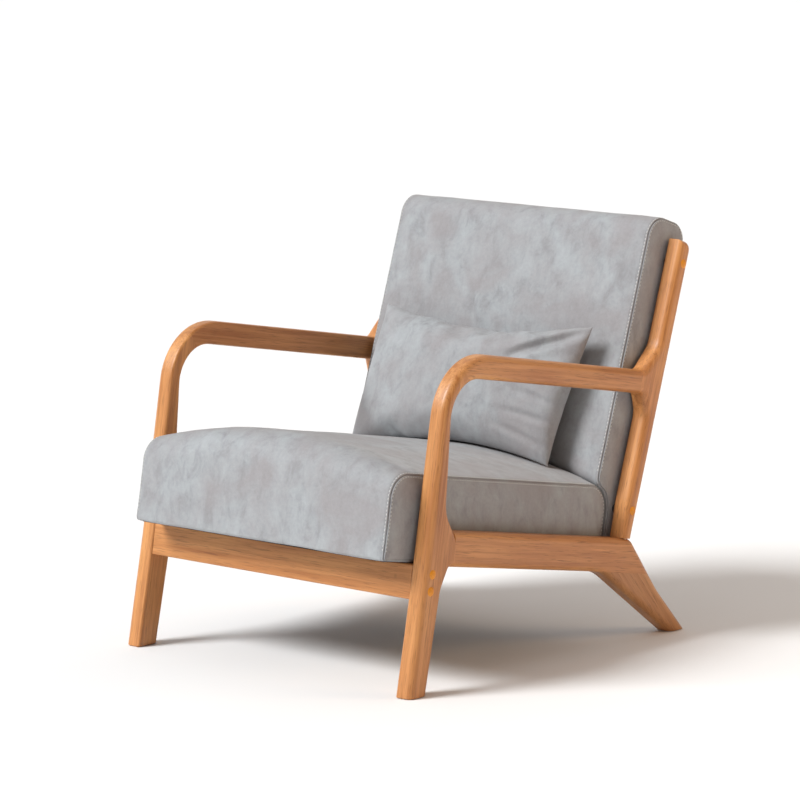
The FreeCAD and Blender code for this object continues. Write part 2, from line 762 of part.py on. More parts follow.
def crowned_outline(sketch, half, low, high, crown):
    """Rectangle whose upper side is an arc that rises by the crown in the middle."""
    radius = f"((({half}) * ({half}) + {crown} * {crown}) / (2 * {crown}))"
    x, z0, z1, r = value(half), value(low), value(high), value(radius)
    points = [FreeCAD.Vector(*point, 0) for point in ((-x, z1), (-x, z0), (x, z0), (x, z1))]
    for start, end in zip(points, points[1:]):
        sketch.addGeometry(Part.LineSegment(start, end), False)
    centre = FreeCAD.Vector(0, z1 + value(crown) - r, 0)
    circle = Part.Circle(centre, FreeCAD.Vector(0, 0, 1), r)
    angle = math.asin(x / r)
    sketch.addGeometry(Part.ArcOfCircle(circle, math.pi / 2 - angle, math.pi / 2 + angle), False)
    for first, first_end, second, second_end in ((0, 2, 1, 1), (1, 2, 2, 1), (2, 2, 3, 1), (0, 1, 3, 2)):
        sketch.addConstraint(Sketcher.Constraint("Coincident", first, first_end, second, second_end))
    for target, across, up in (
            ((0, 1), f"-({half})", high), ((1, 1), f"-({half})", low),
            ((2, 1), half, low), ((3, 1), half, high)):
        tie(sketch, "DistanceX", (-1, 1, *target), across)
        tie(sketch, "DistanceY", (-1, 1, *target), up)
    tie(sketch, "Radius", (3,), radius)


def seat_block(name, grow, low):
    """The seat cushion's shape, larger all round by the given amount."""
    front = f"-({grow})"
    rear = f"{SEAT_REAR_U} + ({grow})"
    top = f"seat_side_height + seat_crown + ({grow})"
    return soft_block(
        name, SEAT,
        [(front, low), (rear, low), (rear, top), (front, top)],
        [(f"seat_rear_radius + ({grow})", 2), (f"seat_front_radius + ({grow})", 3)],
        (f"{SEAT_HALF} + ({grow})", low, f"seat_side_height + ({grow})", "seat_crown"),
    )


BACK_FRONT_U = "(back_behind_post - back_thick)"


def back_block(name, shrink):
    """The back cushion's shape, smaller all round by the given amount, before the seat's notch."""
    front, rear = f"{BACK_FRONT_U} + {shrink}", f"back_behind_post - {shrink}"
    low, high = f"-back_bottom + {shrink}", f"back_top - {shrink}"
    return soft_block(
        name, BACK,
        [(front, low), (rear, low), (rear, high), (front, high)],
        [(f"back_rear_radius - {shrink}", 2), (f"back_front_radius - {shrink}", 3)],
        (f"{BACK_HALF} - {shrink}", low, high, None),
    )


SEAT_INSIDE_LOW = "dust_cover_thick + cover_thick"
SEAT_BAR_TOP = f"({SEAT_INSIDE_LOW} + seat_bar_depth)"
SEAT_INNER_FRONT = "cover_thick"
SEAT_INNER_REAR = f"({SEAT_REAR_U} - cover_thick)"
SEAT_BAR_INNER = f"({SEAT_BAR_OUTER} - seat_bar_width)"


def both(half):
    return f"-({half})", half


def side_hardware(tag, frame, u, w, reach):
    """Cutter for a spacer that passes through a cover's side to the left side frame."""
    return rod(
        f"{tag}_spacer_bore", frame, "spacer_radius + hole_clearance",
        f"{INNER} - ({reach}) + overrun", reach, u, w, "x")


def spacer(name, frame, u, w, start):
    """Ring on a bolt, in the gap between the upholstery's frame and the side frame."""
    ring = rod(f"{name}_ring", frame, "spacer_radius", f"{INNER} - {start}", start, u, w, "x")
    bore = rod(
        f"{name}_ring_bore", frame, "bolt_radius + hole_clearance", f"{INNER} - {start} + 2 * overrun",
        f"{start} - overrun", u, w, "x")
    return cut(name, ring, bore)


def on_both_sides(name, cutter):
    """A cutter and its mirror image."""
    copy = doc.addObject("Part::Mirroring", name)
    copy.Source = cutter
    copy.Normal = FreeCAD.Vector(1, 0, 0)
    return [cutter, copy]


# Seat
seat_outside = seat_block("seat_outside", "0", "dust_cover_thick")
seat_inside = seat_block("seat_inside", "-cover_thick", SEAT_INSIDE_LOW)
seat_bottom_opening = box(
    "seat_bottom_opening", SEAT, both(f"{SEAT_HALF} - cover_thick - bottom_hem"),
    ("cover_thick + bottom_hem", f"{SEAT_REAR_U} - cover_thick - bottom_hem"),
    ("0", SEAT_INSIDE_LOW))
seat_spacer_bores = on_both_sides(
    "seat_spacer_bore_right", side_hardware("seat", SEAT, SEAT_BOLT_U, SEAT_BOLT_W, SEAT_BAR_OUTER))
node(cut("seat_cover", seat_outside, seat_inside, seat_bottom_opening, *seat_spacer_bores))

seat_frame_space = box(
    "seat_frame_space", SEAT, both(HALF), (f"-{FAR}", f"{SEAT_REAR_U} + {FAR}"),
    (f"-{FAR}", f"{SEAT_BAR_TOP} + 2 * strap_thick"))
node(cut("seat_foam", seat_inside, seat_frame_space))

bar_w = (SEAT_INSIDE_LOW, SEAT_BAR_TOP)
node(box(
    "seat_frame_front_bar", SEAT, both(SEAT_BAR_INNER),
    (SEAT_INNER_FRONT, f"{SEAT_INNER_FRONT} + seat_bar_width"), bar_w))
node(box(
    "seat_frame_rear_bar", SEAT, both(SEAT_BAR_INNER),
    (f"{SEAT_INNER_REAR} - seat_bar_width", SEAT_INNER_REAR), bar_w))
mount_bar = box(
    "seat_mount_bar_blank", SEAT, both(SEAT_BAR_INNER),
    (f"{BOLT_U} - front_rail_thick / 2", f"{BOLT_U} + front_rail_thick / 2"),
    ("dust_cover_thick", SEAT_BAR_TOP))
node(cut("seat_frame_mounting_bar", mount_bar, *seat_bar_pilots))
side_bar = box(
    "seat_side_bar_blank", SEAT, (SEAT_BAR_INNER, SEAT_BAR_OUTER), (SEAT_INNER_FRONT, SEAT_INNER_REAR),
    bar_w)
side_bar_bore = rod(
    "seat_side_bar_bore", SEAT, "bolt_radius + hole_clearance", "seat_bar_width + 2 * overrun",
    f"{SEAT_BAR_INNER} - overrun", SEAT_BOLT_U, SEAT_BOLT_W, "x")
node(cut("seat_frame_side_left", side_bar, side_bar_bore))
BLOCK_REAR_U = f"({SEAT_INNER_REAR} - seat_bar_width)"
node(box(
    "seat_corner_block_left", SEAT, (f"{SEAT_BAR_INNER} - corner_block", SEAT_BAR_INNER),
    (f"{BLOCK_REAR_U} - corner_block", BLOCK_REAR_U), bar_w))


def strap_row(name, frame, count, reach, middle, shape):
    """Evenly spaced flat straps; shape turns a strap's two edges into its x, u and w."""
    straps = []
    for index in range(count):
        centre = f"({middle} - ({reach}) + {2 * index + 1} * ({reach}) / {count})"
        band = (f"{centre} - strap_width / 2", f"{centre} + strap_width / 2")
        straps.append(box(f"{name}_{index}", frame, *shape(band)))
    return node(group(name, straps))


strap_row(
    "seat_straps_lengthwise", SEAT, 5, SEAT_BAR_INNER, "0",
    lambda band: (
        band,
        (f"{SEAT_INNER_FRONT} + strap_end", f"{SEAT_INNER_REAR} - strap_end"),
        (SEAT_BAR_TOP, f"{SEAT_BAR_TOP} + strap_thick"),
    ))
strap_row(
    "seat_straps_crosswise", SEAT, 5, f"(({SEAT_INNER_REAR} - {SEAT_INNER_FRONT}) / 2 - seat_bar_width)",
    f"({SEAT_INNER_FRONT} + {SEAT_INNER_REAR}) / 2",
    lambda band: (
        both(f"{SEAT_BAR_OUTER} - strap_end"),
        band,
        (f"{SEAT_BAR_TOP} + strap_thick", f"{SEAT_BAR_TOP} + 2 * strap_thick"),
    ))

dust_sheet = box(
    "seat_dust_sheet", SEAT, both(f"{SEAT_HALF} - dust_cover_inset"),
    ("dust_cover_inset", f"{SEAT_REAR_U} - dust_cover_inset"), ("0", "dust_cover_thick"))
node(cut("seat_dust_cover", dust_sheet, *seat_bar_pilots))

SEAT_BOLT_TIP = f"({INNER} + insert_length - bolt_tip_gap)"
node(fuse(
    "seat_side_bolt_left",
    rod("seat_side_bolt_shank", SEAT, "bolt_radius", f"{SEAT_BOLT_TIP} - {SEAT_BAR_INNER}",
        SEAT_BAR_INNER, SEAT_BOLT_U, SEAT_BOLT_W, "x"),
    rod("seat_side_bolt_head", SEAT, "bolt_head_radius", "bolt_head_thick",
        f"{SEAT_BAR_INNER} - bolt_head_thick", SEAT_BOLT_U, SEAT_BOLT_W, "x")))
node(cut(
    "seat_bolt_insert_left",
    rod("seat_insert_sleeve", SEAT, "insert_radius", "insert_length", INNER, SEAT_BOLT_U,
        SEAT_BOLT_W, "x"),
    rod("seat_insert_thread", SEAT, "bolt_radius + dowel_gap", "insert_length + 2 * overrun",
        f"{INNER} - overrun", SEAT_BOLT_U, SEAT_BOLT_W, "x")))
node(spacer("seat_spacer_left", SEAT, SEAT_BOLT_U, SEAT_BOLT_W, SEAT_BAR_OUTER))

# Back
seat_clearance = seat_block("seat_clearance", "seat_back_gap", f"-{FAR}")
seat_clearance_inside = seat_block("seat_clearance_inside", "seat_back_gap + cover_thick", f"-{FAR}")
back_outside = cut("back_outside", back_block("back_outside_block", "0"), seat_clearance)
back_inside = cut("back_inside", back_block("back_inside_block", "cover_thick"), seat_clearance_inside)

BAR_FRONT_U = f"({BACK_BOLT_U} - back_bar_thick / 2)"
BAR_REAR_U = f"({BACK_BOLT_U} + back_bar_thick / 2)"
FRAME_TOP_W = "(back_top - cover_thick - back_frame_top_gap)"
STILE_INNER = f"({STILE_OUTER} - stile_width)"
bar_u = (BAR_FRONT_U, BAR_REAR_U)

spacer_bores = []
back_spacers = []
back_inserts = []
stile_cutters = []
for tag, rise in (("lower", "post_bolt_low"), ("upper", "post_bolt_high")):
    spacer_bores += on_both_sides(
        f"back_{tag}_spacer_bore_right",
        side_hardware(f"back_{tag}", BACK, BACK_BOLT_U, rise, STILE_OUTER))
    back_spacers.append(spacer(f"back_{tag}_spacer", BACK, BACK_BOLT_U, rise, STILE_OUTER))
    sleeve = rod(
        f"back_{tag}_sleeve", BACK, "insert_radius", "insert_length", STILE_INNER, BACK_BOLT_U, rise, "x")
    flange = rod(
        f"back_{tag}_flange", BACK, "spacer_radius", "insert_flange",
        f"{STILE_INNER} - insert_flange", BACK_BOLT_U, rise, "x")
    thread = rod(
        f"back_{tag}_thread", BACK, "bolt_radius + dowel_gap",
        "insert_length + insert_flange + 2 * overrun", f"{STILE_INNER} - insert_flange - overrun",
        BACK_BOLT_U, rise, "x")
    insert_body = fuse(f"back_{tag}_insert_body", sleeve, flange)
    back_inserts.append(cut(f"back_{tag}_insert", insert_body, thread))
    stile_cutters.append(rod(
        f"stile_{tag}_bore", BACK, "bolt_radius + hole_clearance", "stile_width + 2 * overrun",
        f"{STILE_INNER} - overrun", BACK_BOLT_U, rise, "x"))
    stile_cutters.append(rod(
        f"stile_{tag}_insert_bore", BACK, "insert_radius + dowel_gap", "insert_length + overrun",
        f"{STILE_INNER} - overrun", BACK_BOLT_U, rise, "x"))

node(cut("back_cover", back_outside, back_inside, *spacer_bores))
back_frame_space = box(
    "back_frame_space", BACK, both(HALF), (f"{BAR_FRONT_U} - 2 * strap_thick", BAR_REAR_U),
    ("back_frame_low", FRAME_TOP_W))
node(cut("back_foam", back_inside, back_frame_space))
stile = box("back_stile_blank", BACK, (STILE_INNER, STILE_OUTER), bar_u, ("back_frame_low", FRAME_TOP_W))
node(cut("back_frame_stile_left", stile, *stile_cutters))
bottom_bar = box(
    "back_bottom_bar_blank", BACK, both(STILE_INNER), bar_u,
    ("back_frame_low", "back_frame_low + back_bar_width"))
nut_pocket = rod(
    "back_nut_pocket", BACK, "spacer_radius + dowel_gap", "nut_pocket_depth + overrun",
    f"{STILE_INNER} - nut_pocket_depth", BACK_BOLT_U, "post_bolt_low", "x")
node(cut("back_frame_bottom_bar", bottom_bar, *on_both_sides("back_nut_pocket_right", nut_pocket)))
node(box(
    "back_frame_top_bar", BACK, both(STILE_INNER), bar_u, (f"{FRAME_TOP_W} - back_bar_width", FRAME_TOP_W)))
strap_row(
    "back_straps_upright", BACK, 4, STILE_INNER, "0",
    lambda band: (
        band,
        (f"{BAR_FRONT_U} - strap_thick", BAR_FRONT_U),
        ("back_frame_low + strap_end", f"{FRAME_TOP_W} - strap_end"),
    ))
strap_row(
    "back_straps_crosswise", BACK, 4, f"(({FRAME_TOP_W} - back_frame_low) / 2 - back_bar_width)",
    f"(back_frame_low + {FRAME_TOP_W}) / 2",
    lambda band: (
        both(f"{STILE_OUTER} - strap_end"),
        (f"{BAR_FRONT_U} - 2 * strap_thick", f"{BAR_FRONT_U} - strap_thick"),
        band,
    ))
node(group("back_spacers_left", back_spacers))
node(group("back_bolt_inserts_left", back_inserts))


# Loose pillow
SEAT_TOP_LEAN = "(back_lean - seat_slope)"
PILLOW_REAR_U = f"({BACK_FRONT_U} - pillow_gap)"
PILLOW_LOW = (
    f"(seat_side_height + seat_crown - rail_depth) / cos({SEAT_TOP_LEAN})"
    f" + {PILLOW_REAR_U} * tan({SEAT_TOP_LEAN}) + pillow_gap"
)


def pillow_block(name, shrink):
    """Rounded slab that leans on the back, smaller all round by the given amount."""
    body = doc.addObject("PartDesign::Body", name)
    sketch = sketch_on(body, name + "_outline", "YZ_Plane")
    front, rear = f"-pillow_thick + {shrink}", f"-({shrink})"
    polygon(sketch, [
        (front, shrink), (rear, shrink), (rear, f"pillow_height - {shrink}"),
        (front, f"pillow_height - {shrink}"),
    ])
    slab = pad(body, sketch, f"pillow_width - 2 * {shrink}", midplane=True)
    every_edge = [f"Edge{number}" for number in range(1, len(slab.Shape.Edges) + 1)]
    fillet(body, name + "_rounding", slab, every_edge, f"pillow_round - {shrink}")
    return place(body, BACK, "-pillow_shift", PILLOW_REAR_U, PILLOW_LOW)


pillow_outside = pillow_block("pillow_outside", "0")
pillow_inside = pillow_block("pillow_inside", "pillow_cover_thick")
node(cut("pillow_cover", pillow_outside, pillow_inside))
node(pillow_inside)
pillow_inside.Label = "pillow_filling"

# ---------------------------------------------------------------- the sitter's right, checks, files

for feature in [feature for feature in NODES if feature.Name.endswith("_left")]:
    mirrored(feature)
doc.recompute()

for feature in doc.Objects:
    if "Invalid" in feature.State or "Error" in feature.State:
        raise RuntimeError(f"{feature.Name} failed: {feature.State}")
for feature in NODES:
    if feature.Shape.isNull() or not feature.Shape.isValid() or not feature.Shape.Solids:
        raise RuntimeError(f"{feature.Label} has no valid solid")

os.makedirs("parts", exist_ok=True)
for feature in NODES:
    feature.Shape.exportStep(f"parts/{feature.Label}.step")
print(len(NODES), "nodes,", sum(len(feature.Shape.Solids) for feature in NODES), "solids")
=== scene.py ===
import json
import math

import bmesh
import bpy
import numpy as np
from mathutils import Matrix, Vector, noise


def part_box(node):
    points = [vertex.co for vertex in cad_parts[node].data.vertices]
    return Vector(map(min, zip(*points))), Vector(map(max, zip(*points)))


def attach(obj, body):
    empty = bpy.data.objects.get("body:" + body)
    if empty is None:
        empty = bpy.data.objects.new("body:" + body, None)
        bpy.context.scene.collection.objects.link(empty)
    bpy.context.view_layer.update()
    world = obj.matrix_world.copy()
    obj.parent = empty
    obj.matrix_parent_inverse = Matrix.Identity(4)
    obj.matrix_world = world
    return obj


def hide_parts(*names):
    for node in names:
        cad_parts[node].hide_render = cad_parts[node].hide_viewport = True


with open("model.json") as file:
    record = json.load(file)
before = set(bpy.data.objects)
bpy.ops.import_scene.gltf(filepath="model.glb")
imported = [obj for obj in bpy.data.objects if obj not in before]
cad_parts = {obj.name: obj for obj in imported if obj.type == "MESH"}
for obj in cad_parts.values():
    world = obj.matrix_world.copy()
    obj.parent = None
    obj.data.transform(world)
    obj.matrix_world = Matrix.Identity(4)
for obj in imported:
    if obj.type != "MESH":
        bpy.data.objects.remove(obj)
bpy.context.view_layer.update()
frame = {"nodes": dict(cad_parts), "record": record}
NODES = frame["nodes"]
MM = 0.001

# ---------------------------------------------------------------- frames of the cushions
# A frame is an origin on the chair's middle plane and the angle by which it is tipped back.
# In it, x is the chair's own, u runs rearwards and w runs upwards.

SEAT_SLOPE = math.radians(9.5)
BACK_LEAN = math.radians(18)


class Tipped:
    """A tipped frame, whose origin is set so that the given node starts at u = 0 and w = 0."""

    def __init__(self, node, angle):
        self.along = np.array([0, math.cos(angle), -math.sin(angle)])
        self.up = np.array([0, math.sin(angle), math.cos(angle)])
        points = np.array([v.co for v in NODES[node].data.vertices])
        u, w = points @ self.along, points @ self.up
        self.origin = self.along * u.min() + self.up * w.min()
        self.length = u.max() - u.min()
        self.height = w.max() - w.min()
        self.half = np.abs(points[:, 0]).max()

    def world(self, x, u, w):
        x, u, w = np.broadcast_arrays(x, u, w)
        flat = np.zeros(x.shape + (3,))
        flat[..., 0] = x
        return self.origin + flat + u[..., None] * self.along + w[..., None] * self.up

    def local(self, points):
        rest = np.asarray(points) - self.origin
        return rest @ self.along, rest @ self.up


SEAT = Tipped("seat_cover", SEAT_SLOPE)
BACK = Tipped("back_cover", BACK_LEAN)


# ---------------------------------------------------------------- small tools

def new_mesh(name, vertices, faces, smooth=True):
    mesh = bpy.data.meshes.new(name)
    mesh.from_pydata([tuple(v) for v in vertices], [], faces)
    mesh.validate()
    piece = bpy.data.objects.new(name, mesh)
    bpy.context.scene.collection.objects.link(piece)
    if smooth:
        mesh.shade_smooth()
    return piece


def outward(piece):
    """Turn every face of a closed piece outwards."""
    shape = bmesh.new()
    shape.from_mesh(piece.data)
    bmesh.ops.recalc_face_normals(shape, faces=shape.faces)
    shape.to_mesh(piece.data)
    shape.free()
    piece.data.shade_smooth()


def applied(piece):
    """The piece with its modifiers applied."""
    bpy.context.view_layer.update()
    evaluated = piece.evaluated_get(bpy.context.evaluated_depsgraph_get())
    mesh = bpy.data.meshes.new_from_object(evaluated)
    piece.modifiers.clear()
    piece.data = mesh
    return piece


def subdivide(piece, levels=1):
    modifier = piece.modifiers.new("Smooth", "SUBSURF")
    modifier.levels = modifier.render_levels = levels
    return applied(piece)


def fractal(points, size, seed, octaves=3):
    """Smooth noise between about -1 and 1 whose blobs are of the given size along each axis."""
    shift = Vector((seed * 17.3, seed * 7.1, seed * 3.7))
    values = [noise.fractal(Vector(p) + shift, 0.8, 2.1, octaves) for p in np.asarray(points) / size]
    return np.array(values)


def resampled(path, count):
    """The open path as the given number of evenly spaced points."""
    steps = np.linalg.norm(np.diff(path, axis=0), axis=1)
    reach = np.concatenate([[0], np.cumsum(steps)])
    at = np.linspace(0, reach[-1], count)
    return np.stack([np.interp(at, reach, path[:, axis]) for axis in range(path.shape[1])], axis=1)


def corner_arc(before, here, after, radius, count):
    """Points of the arc that rounds the corner at here."""
    back, ahead = before - here, after - here
    back, ahead = back / np.linalg.norm(back), ahead / np.linalg.norm(ahead)
    half_angle = math.acos(np.clip(back @ ahead, -1, 1)) / 2
    middle = back + ahead
    centre = here + middle / np.linalg.norm(middle) * radius / math.sin(half_angle)
    start = here + back * radius / math.tan(half_angle) - centre
    sign = np.sign(back[0] * ahead[1] - back[1] * ahead[0])
    turns = -sign * np.linspace(0, math.pi - 2 * half_angle, count)
    x = start[0] * np.cos(turns) - start[1] * np.sin(turns)
    y = start[0] * np.sin(turns) + start[1] * np.cos(turns)
    return centre + np.stack([x, y], axis=1)


def outline(corners, radii, line_counts, arc_count=14):
    """Open path through the corners, rounded by their radii, with set numbers of points on each part."""
    corners = [np.array(point, float) for point in corners]
    stretches = [corners[0][None]]
    for index, radius in enumerate(radii, start=1):
        arc = corner_arc(*corners[index - 1:index + 2], radius, arc_count)
        stretches.append(resampled(np.stack([stretches[-1][-1], arc[0]]), line_counts[index - 1])[1:])
        stretches.append(arc[1:])
    stretches.append(resampled(np.stack([stretches[-1][-1], corners[-1]]), line_counts[-1])[1:])
    return np.concatenate(stretches)


# ---------------------------------------------------------------- materials

def tinted(colour, shade):
    """The colour times one share, or times a share for each channel."""
    shades = shade if isinstance(shade, tuple) else (shade, shade, shade)
    return tuple(min(c * k, 1) for c, k in zip(colour, shades))


class Nodes:
    """Short spellings for building a material's node tree."""

    def __init__(self, name):
        self.material = bpy.data.materials.new(name)
        self.material.use_nodes = True
        self.tree = self.material.node_tree
        self.shader = self.tree.nodes["Principled BSDF"]
        self.place = self.add("ShaderNodeTexCoord").outputs["Object"]

    def add(self, kind, **settings):
        made = self.tree.nodes.new(kind)
        for key, setting in settings.items():
            setattr(made, key, setting)
        return made

    def link(self, source, target):
        self.tree.links.new(source, target)

    def mapping(self, source, location=(0, 0, 0), rotation=(0, 0, 0), scale=(1, 1, 1)):
        made = self.add("ShaderNodeMapping")
        made.inputs["Location"].default_value = location
        made.inputs["Rotation"].default_value = rotation
        made.inputs["Scale"].default_value = scale
        self.link(source, made.inputs["Vector"])
        return made.outputs["Vector"]

    def noise(self, source, scale=1, detail=3, roughness=0.55, distortion=0):
        made = self.add("ShaderNodeTexNoise")
        made.inputs["Scale"].default_value = scale
        made.inputs["Detail"].default_value = detail
        made.inputs["Roughness"].default_value = roughness
        made.inputs["Distortion"].default_value = distortion
        self.link(source, made.inputs["Vector"])
        return made.outputs["Fac"]

    def ramp(self, source, *stops):
        """Colour ramp from (position, colour or grey) pairs."""
        made = self.add("ShaderNodeValToRGB")
        elements = made.color_ramp.elements
        while len(elements) < len(stops):
            elements.new(1)
        for element, (position, colour) in zip(elements, stops):
            element.position = position
            element.color = (*colour, 1) if isinstance(colour, tuple) else (colour, colour, colour, 1)
        self.link(source, made.inputs["Fac"])
        return made.outputs["Color"]

    def mix(self, share, first, second, blend="MIX"):
        made = self.add("ShaderNodeMix", data_type="RGBA", blend_type=blend)
        for socket, given in ((made.inputs[0], share), (made.inputs[6], first), (made.inputs[7], second)):
            if isinstance(given, bpy.types.NodeSocket):
                self.link(given, socket)
            elif isinstance(given, tuple):
                socket.default_value = (*given, 1)
            else:
                socket.default_value = given
        return made.outputs[2]

    def maths(self, operation, first, second):
        made = self.add("ShaderNodeMath", operation=operation)
        for socket, given in zip(made.inputs, (first, second)):
            if isinstance(given, bpy.types.NodeSocket):
                self.link(given, socket)
            else:
                socket.default_value = given
        return made.outputs[0]

    def bump(self, height, distance, strength=1.0):
        made = self.add("ShaderNodeBump")
        made.inputs["Strength"].default_value = strength
        made.inputs["Distance"].default_value = distance
        self.link(height, made.inputs["Height"])
        self.link(made.outputs["Normal"], self.shader.inputs["Normal"])

    def set(self, **inputs):
        for key, setting in inputs.items():
            self.shader.inputs[key.replace("_", " ")].default_value = setting


KNOT_COLOUR = (0.05, 0.02, 0.008)


def wood(name, turn, seed, light, dark, knots=()):
    """Lacquered wood whose grain runs along Y turned about X by the angle, or along X if turn is None."""
    made = Nodes(name)
    if turn is None:
        turned = made.mapping(made.place, rotation=(0, 0, math.pi / 2), location=(seed, seed * 0.37, 0))
    else:
        shift = (seed, seed * 0.37, seed * 0.61)
        turned = made.mapping(made.place, rotation=(-turn, 0, 0), location=shift)
    coarse = made.noise(made.mapping(turned, scale=(1, 0.05, 1)), scale=34, detail=4, distortion=0.8)
    bands = made.noise(made.mapping(turned, scale=(1, 0.025, 1)), scale=150, detail=3, distortion=0.4)
    cloud = made.noise(made.mapping(turned, scale=(1, 0.3, 1)), scale=9, detail=2)
    streaks = made.noise(made.mapping(turned, scale=(1, 0.04, 1)), scale=620, detail=2, roughness=0.6)
    middle = tuple((a + b) / 2 for a, b in zip(light, dark))
    colour = made.ramp(coarse, (0.28, dark), (0.46, middle), (0.64, light))
    colour = made.mix(0.42, colour, made.ramp(bands, (0.38, dark), (0.60, light)))
    colour = made.mix(0.6, colour, made.ramp(cloud, (0.3, 0.34), (0.7, 0.64)), "SOFT_LIGHT")
    pores = made.ramp(streaks, (0.56, 0.0), (0.68, 1.0))
    colour = made.mix(made.maths("MULTIPLY", pores, 0.55), colour, tinted(dark, 0.5))
    for x, y, z, radius in knots:
        gap = made.add("ShaderNodeVectorMath", operation="DISTANCE")
        made.link(made.place, gap.inputs[0])
        gap.inputs[1].default_value = (x, y, z)
        spot = made.ramp(made.maths("DIVIDE", gap.outputs["Value"], radius), (0.25, 1.0), (1.0, 0.0))
        colour = made.mix(made.maths("MULTIPLY", spot, 0.85), colour, KNOT_COLOUR)
    made.link(colour, made.shader.inputs["Base Color"])
    made.link(made.ramp(coarse, (0.2, 0.30), (0.8, 0.43)), made.shader.inputs["Roughness"])
    height = made.maths("SUBTRACT", made.maths("MULTIPLY", bands, 0.5), pores)
    made.bump(height, 0.12 * MM, 0.6)
    made.set(Specular_IOR_Level=0.5)
    return made.material


def suede(name, cool, warm, deep):
    """Brushed microsuede: cloudy patches of nap, a fine grain and a little sheen."""
    made = Nodes(name)
    upright = made.mapping(made.place, scale=(1, 1, 0.6))
    clouds = made.noise(upright, scale=38, detail=4, roughness=0.62, distortion=0.4)
    patches = made.noise(made.mapping(made.place, location=(3, 1, 7)), scale=11, detail=4, distortion=0.5)
    flecks = made.noise(made.place, scale=170, detail=4, roughness=0.7)
    pale = tinted(cool, 1.12)
    colour = made.ramp(clouds, (0.28, deep), (0.50, cool), (0.72, pale))
    colour = made.mix(made.ramp(patches, (0.38, 0.0), (0.66, 0.8)), colour, warm)
    colour = made.mix(0.5, colour, made.ramp(flecks, (0.32, 0.43), (0.68, 0.57)), "SOFT_LIGHT")
    made.link(colour, made.shader.inputs["Base Color"])
    made.link(made.ramp(clouds, (0.3, 0.80), (0.7, 0.66)), made.shader.inputs["Roughness"])
    grain = made.noise(made.place, scale=950, detail=2, roughness=0.6)
    nap = made.noise(made.mapping(made.place, scale=(1, 1, 0.5)), scale=210, detail=3, roughness=0.6)
    made.bump(made.maths("ADD", grain, made.maths("MULTIPLY", nap, 2.2)), 0.22 * MM, 0.6)
    made.set(Sheen_Weight=0.22, Sheen_Roughness=0.45, Specular_IOR_Level=0.28)
    return made.material


def moulded(name, colour, roughness):
    """Moulded plastic with faint flow marks."""
    made = Nodes(name)
    marks = made.noise(made.place, scale=260, detail=2)
    tone = made.ramp(marks, (0.35, tinted(colour, 0.86)), (0.65, colour))
    made.link(tone, made.shader.inputs["Base Color"])
    gloss = made.ramp(marks, (0.3, roughness * 0.9), (0.7, roughness * 1.1))
    made.link(gloss, made.shader.inputs["Roughness"])
    made.bump(marks, 0.05 * MM, 0.4)
    return made.material


def zinc(name):
    """Zinc-plated steel with fine turning marks."""
    made = Nodes(name)
    rings = made.noise(made.mapping(made.place, scale=(8, 1, 1)), scale=300, detail=2)
    made.link(made.ramp(rings, (0.3, (0.42, 0.43, 0.46)), (0.7, (0.66, 0.66, 0.68))),
              made.shader.inputs["Base Color"])
    made.link(made.ramp(rings, (0.3, 0.28), (0.7, 0.42)), made.shader.inputs["Roughness"])
    made.set(Metallic=1.0)
    return made.material


def woven(name, light, dark, pitch):
    """Plain woven threads along X and across it."""
    made = Nodes(name)
    waves = []
    for axis in ("X", "Y"):
        wave = made.add("ShaderNodeTexWave", wave_type="BANDS", bands_direction=axis)
        wave.inputs["Scale"].default_value = 0.5 / pitch
        wave.inputs["Distortion"].default_value = 0.6
        made.link(made.place, wave.inputs["Vector"])
        waves.append(wave.outputs["Fac"])
    weave = made.maths("MULTIPLY", *waves)
    made.link(made.ramp(weave, (0.1, dark), (0.8, light)), made.shader.inputs["Base Color"])
    made.bump(weave, 0.2 * MM, 0.7)
    made.set(Roughness=0.85)
    return made.material


def thread(name, colour):
    """Twisted sewing thread."""
    made = Nodes(name)
    twist = made.noise(made.place, scale=1400, detail=2)
    tone = made.ramp(twist, (0.35, tinted(colour, 0.8)), (0.65, colour))
    made.link(tone, made.shader.inputs["Base Color"])
    made.bump(twist, 0.1 * MM, 0.6)
    made.set(Roughness=0.6, Sheen_Weight=0.2)
    return made.material


LIGHT_WOOD, DARK_WOOD = (0.67, 0.312, 0.108), (0.39, 0.138, 0.037)
BOARDS = {                   # each timber's grain angle about X, and its tone
    "front_leg": (math.radians(90) - SEAT_SLOPE, 1.0),
    "armrest": (-SEAT_SLOPE, 0.95),
    "side_rail": (-SEAT_SLOPE, 1.0),
    "rear_leg": (-math.radians(48), 0.82),
    "back_post": (math.radians(90) - BACK_LEAN, 1.0),
}
BOARD_STEP = 2.3             # shift of the grain from one board to the next
KNOT_FROM_END, KNOT_FROM_TOP, KNOT_RADIUS = 35 * MM, 22 * MM, 7 * MM


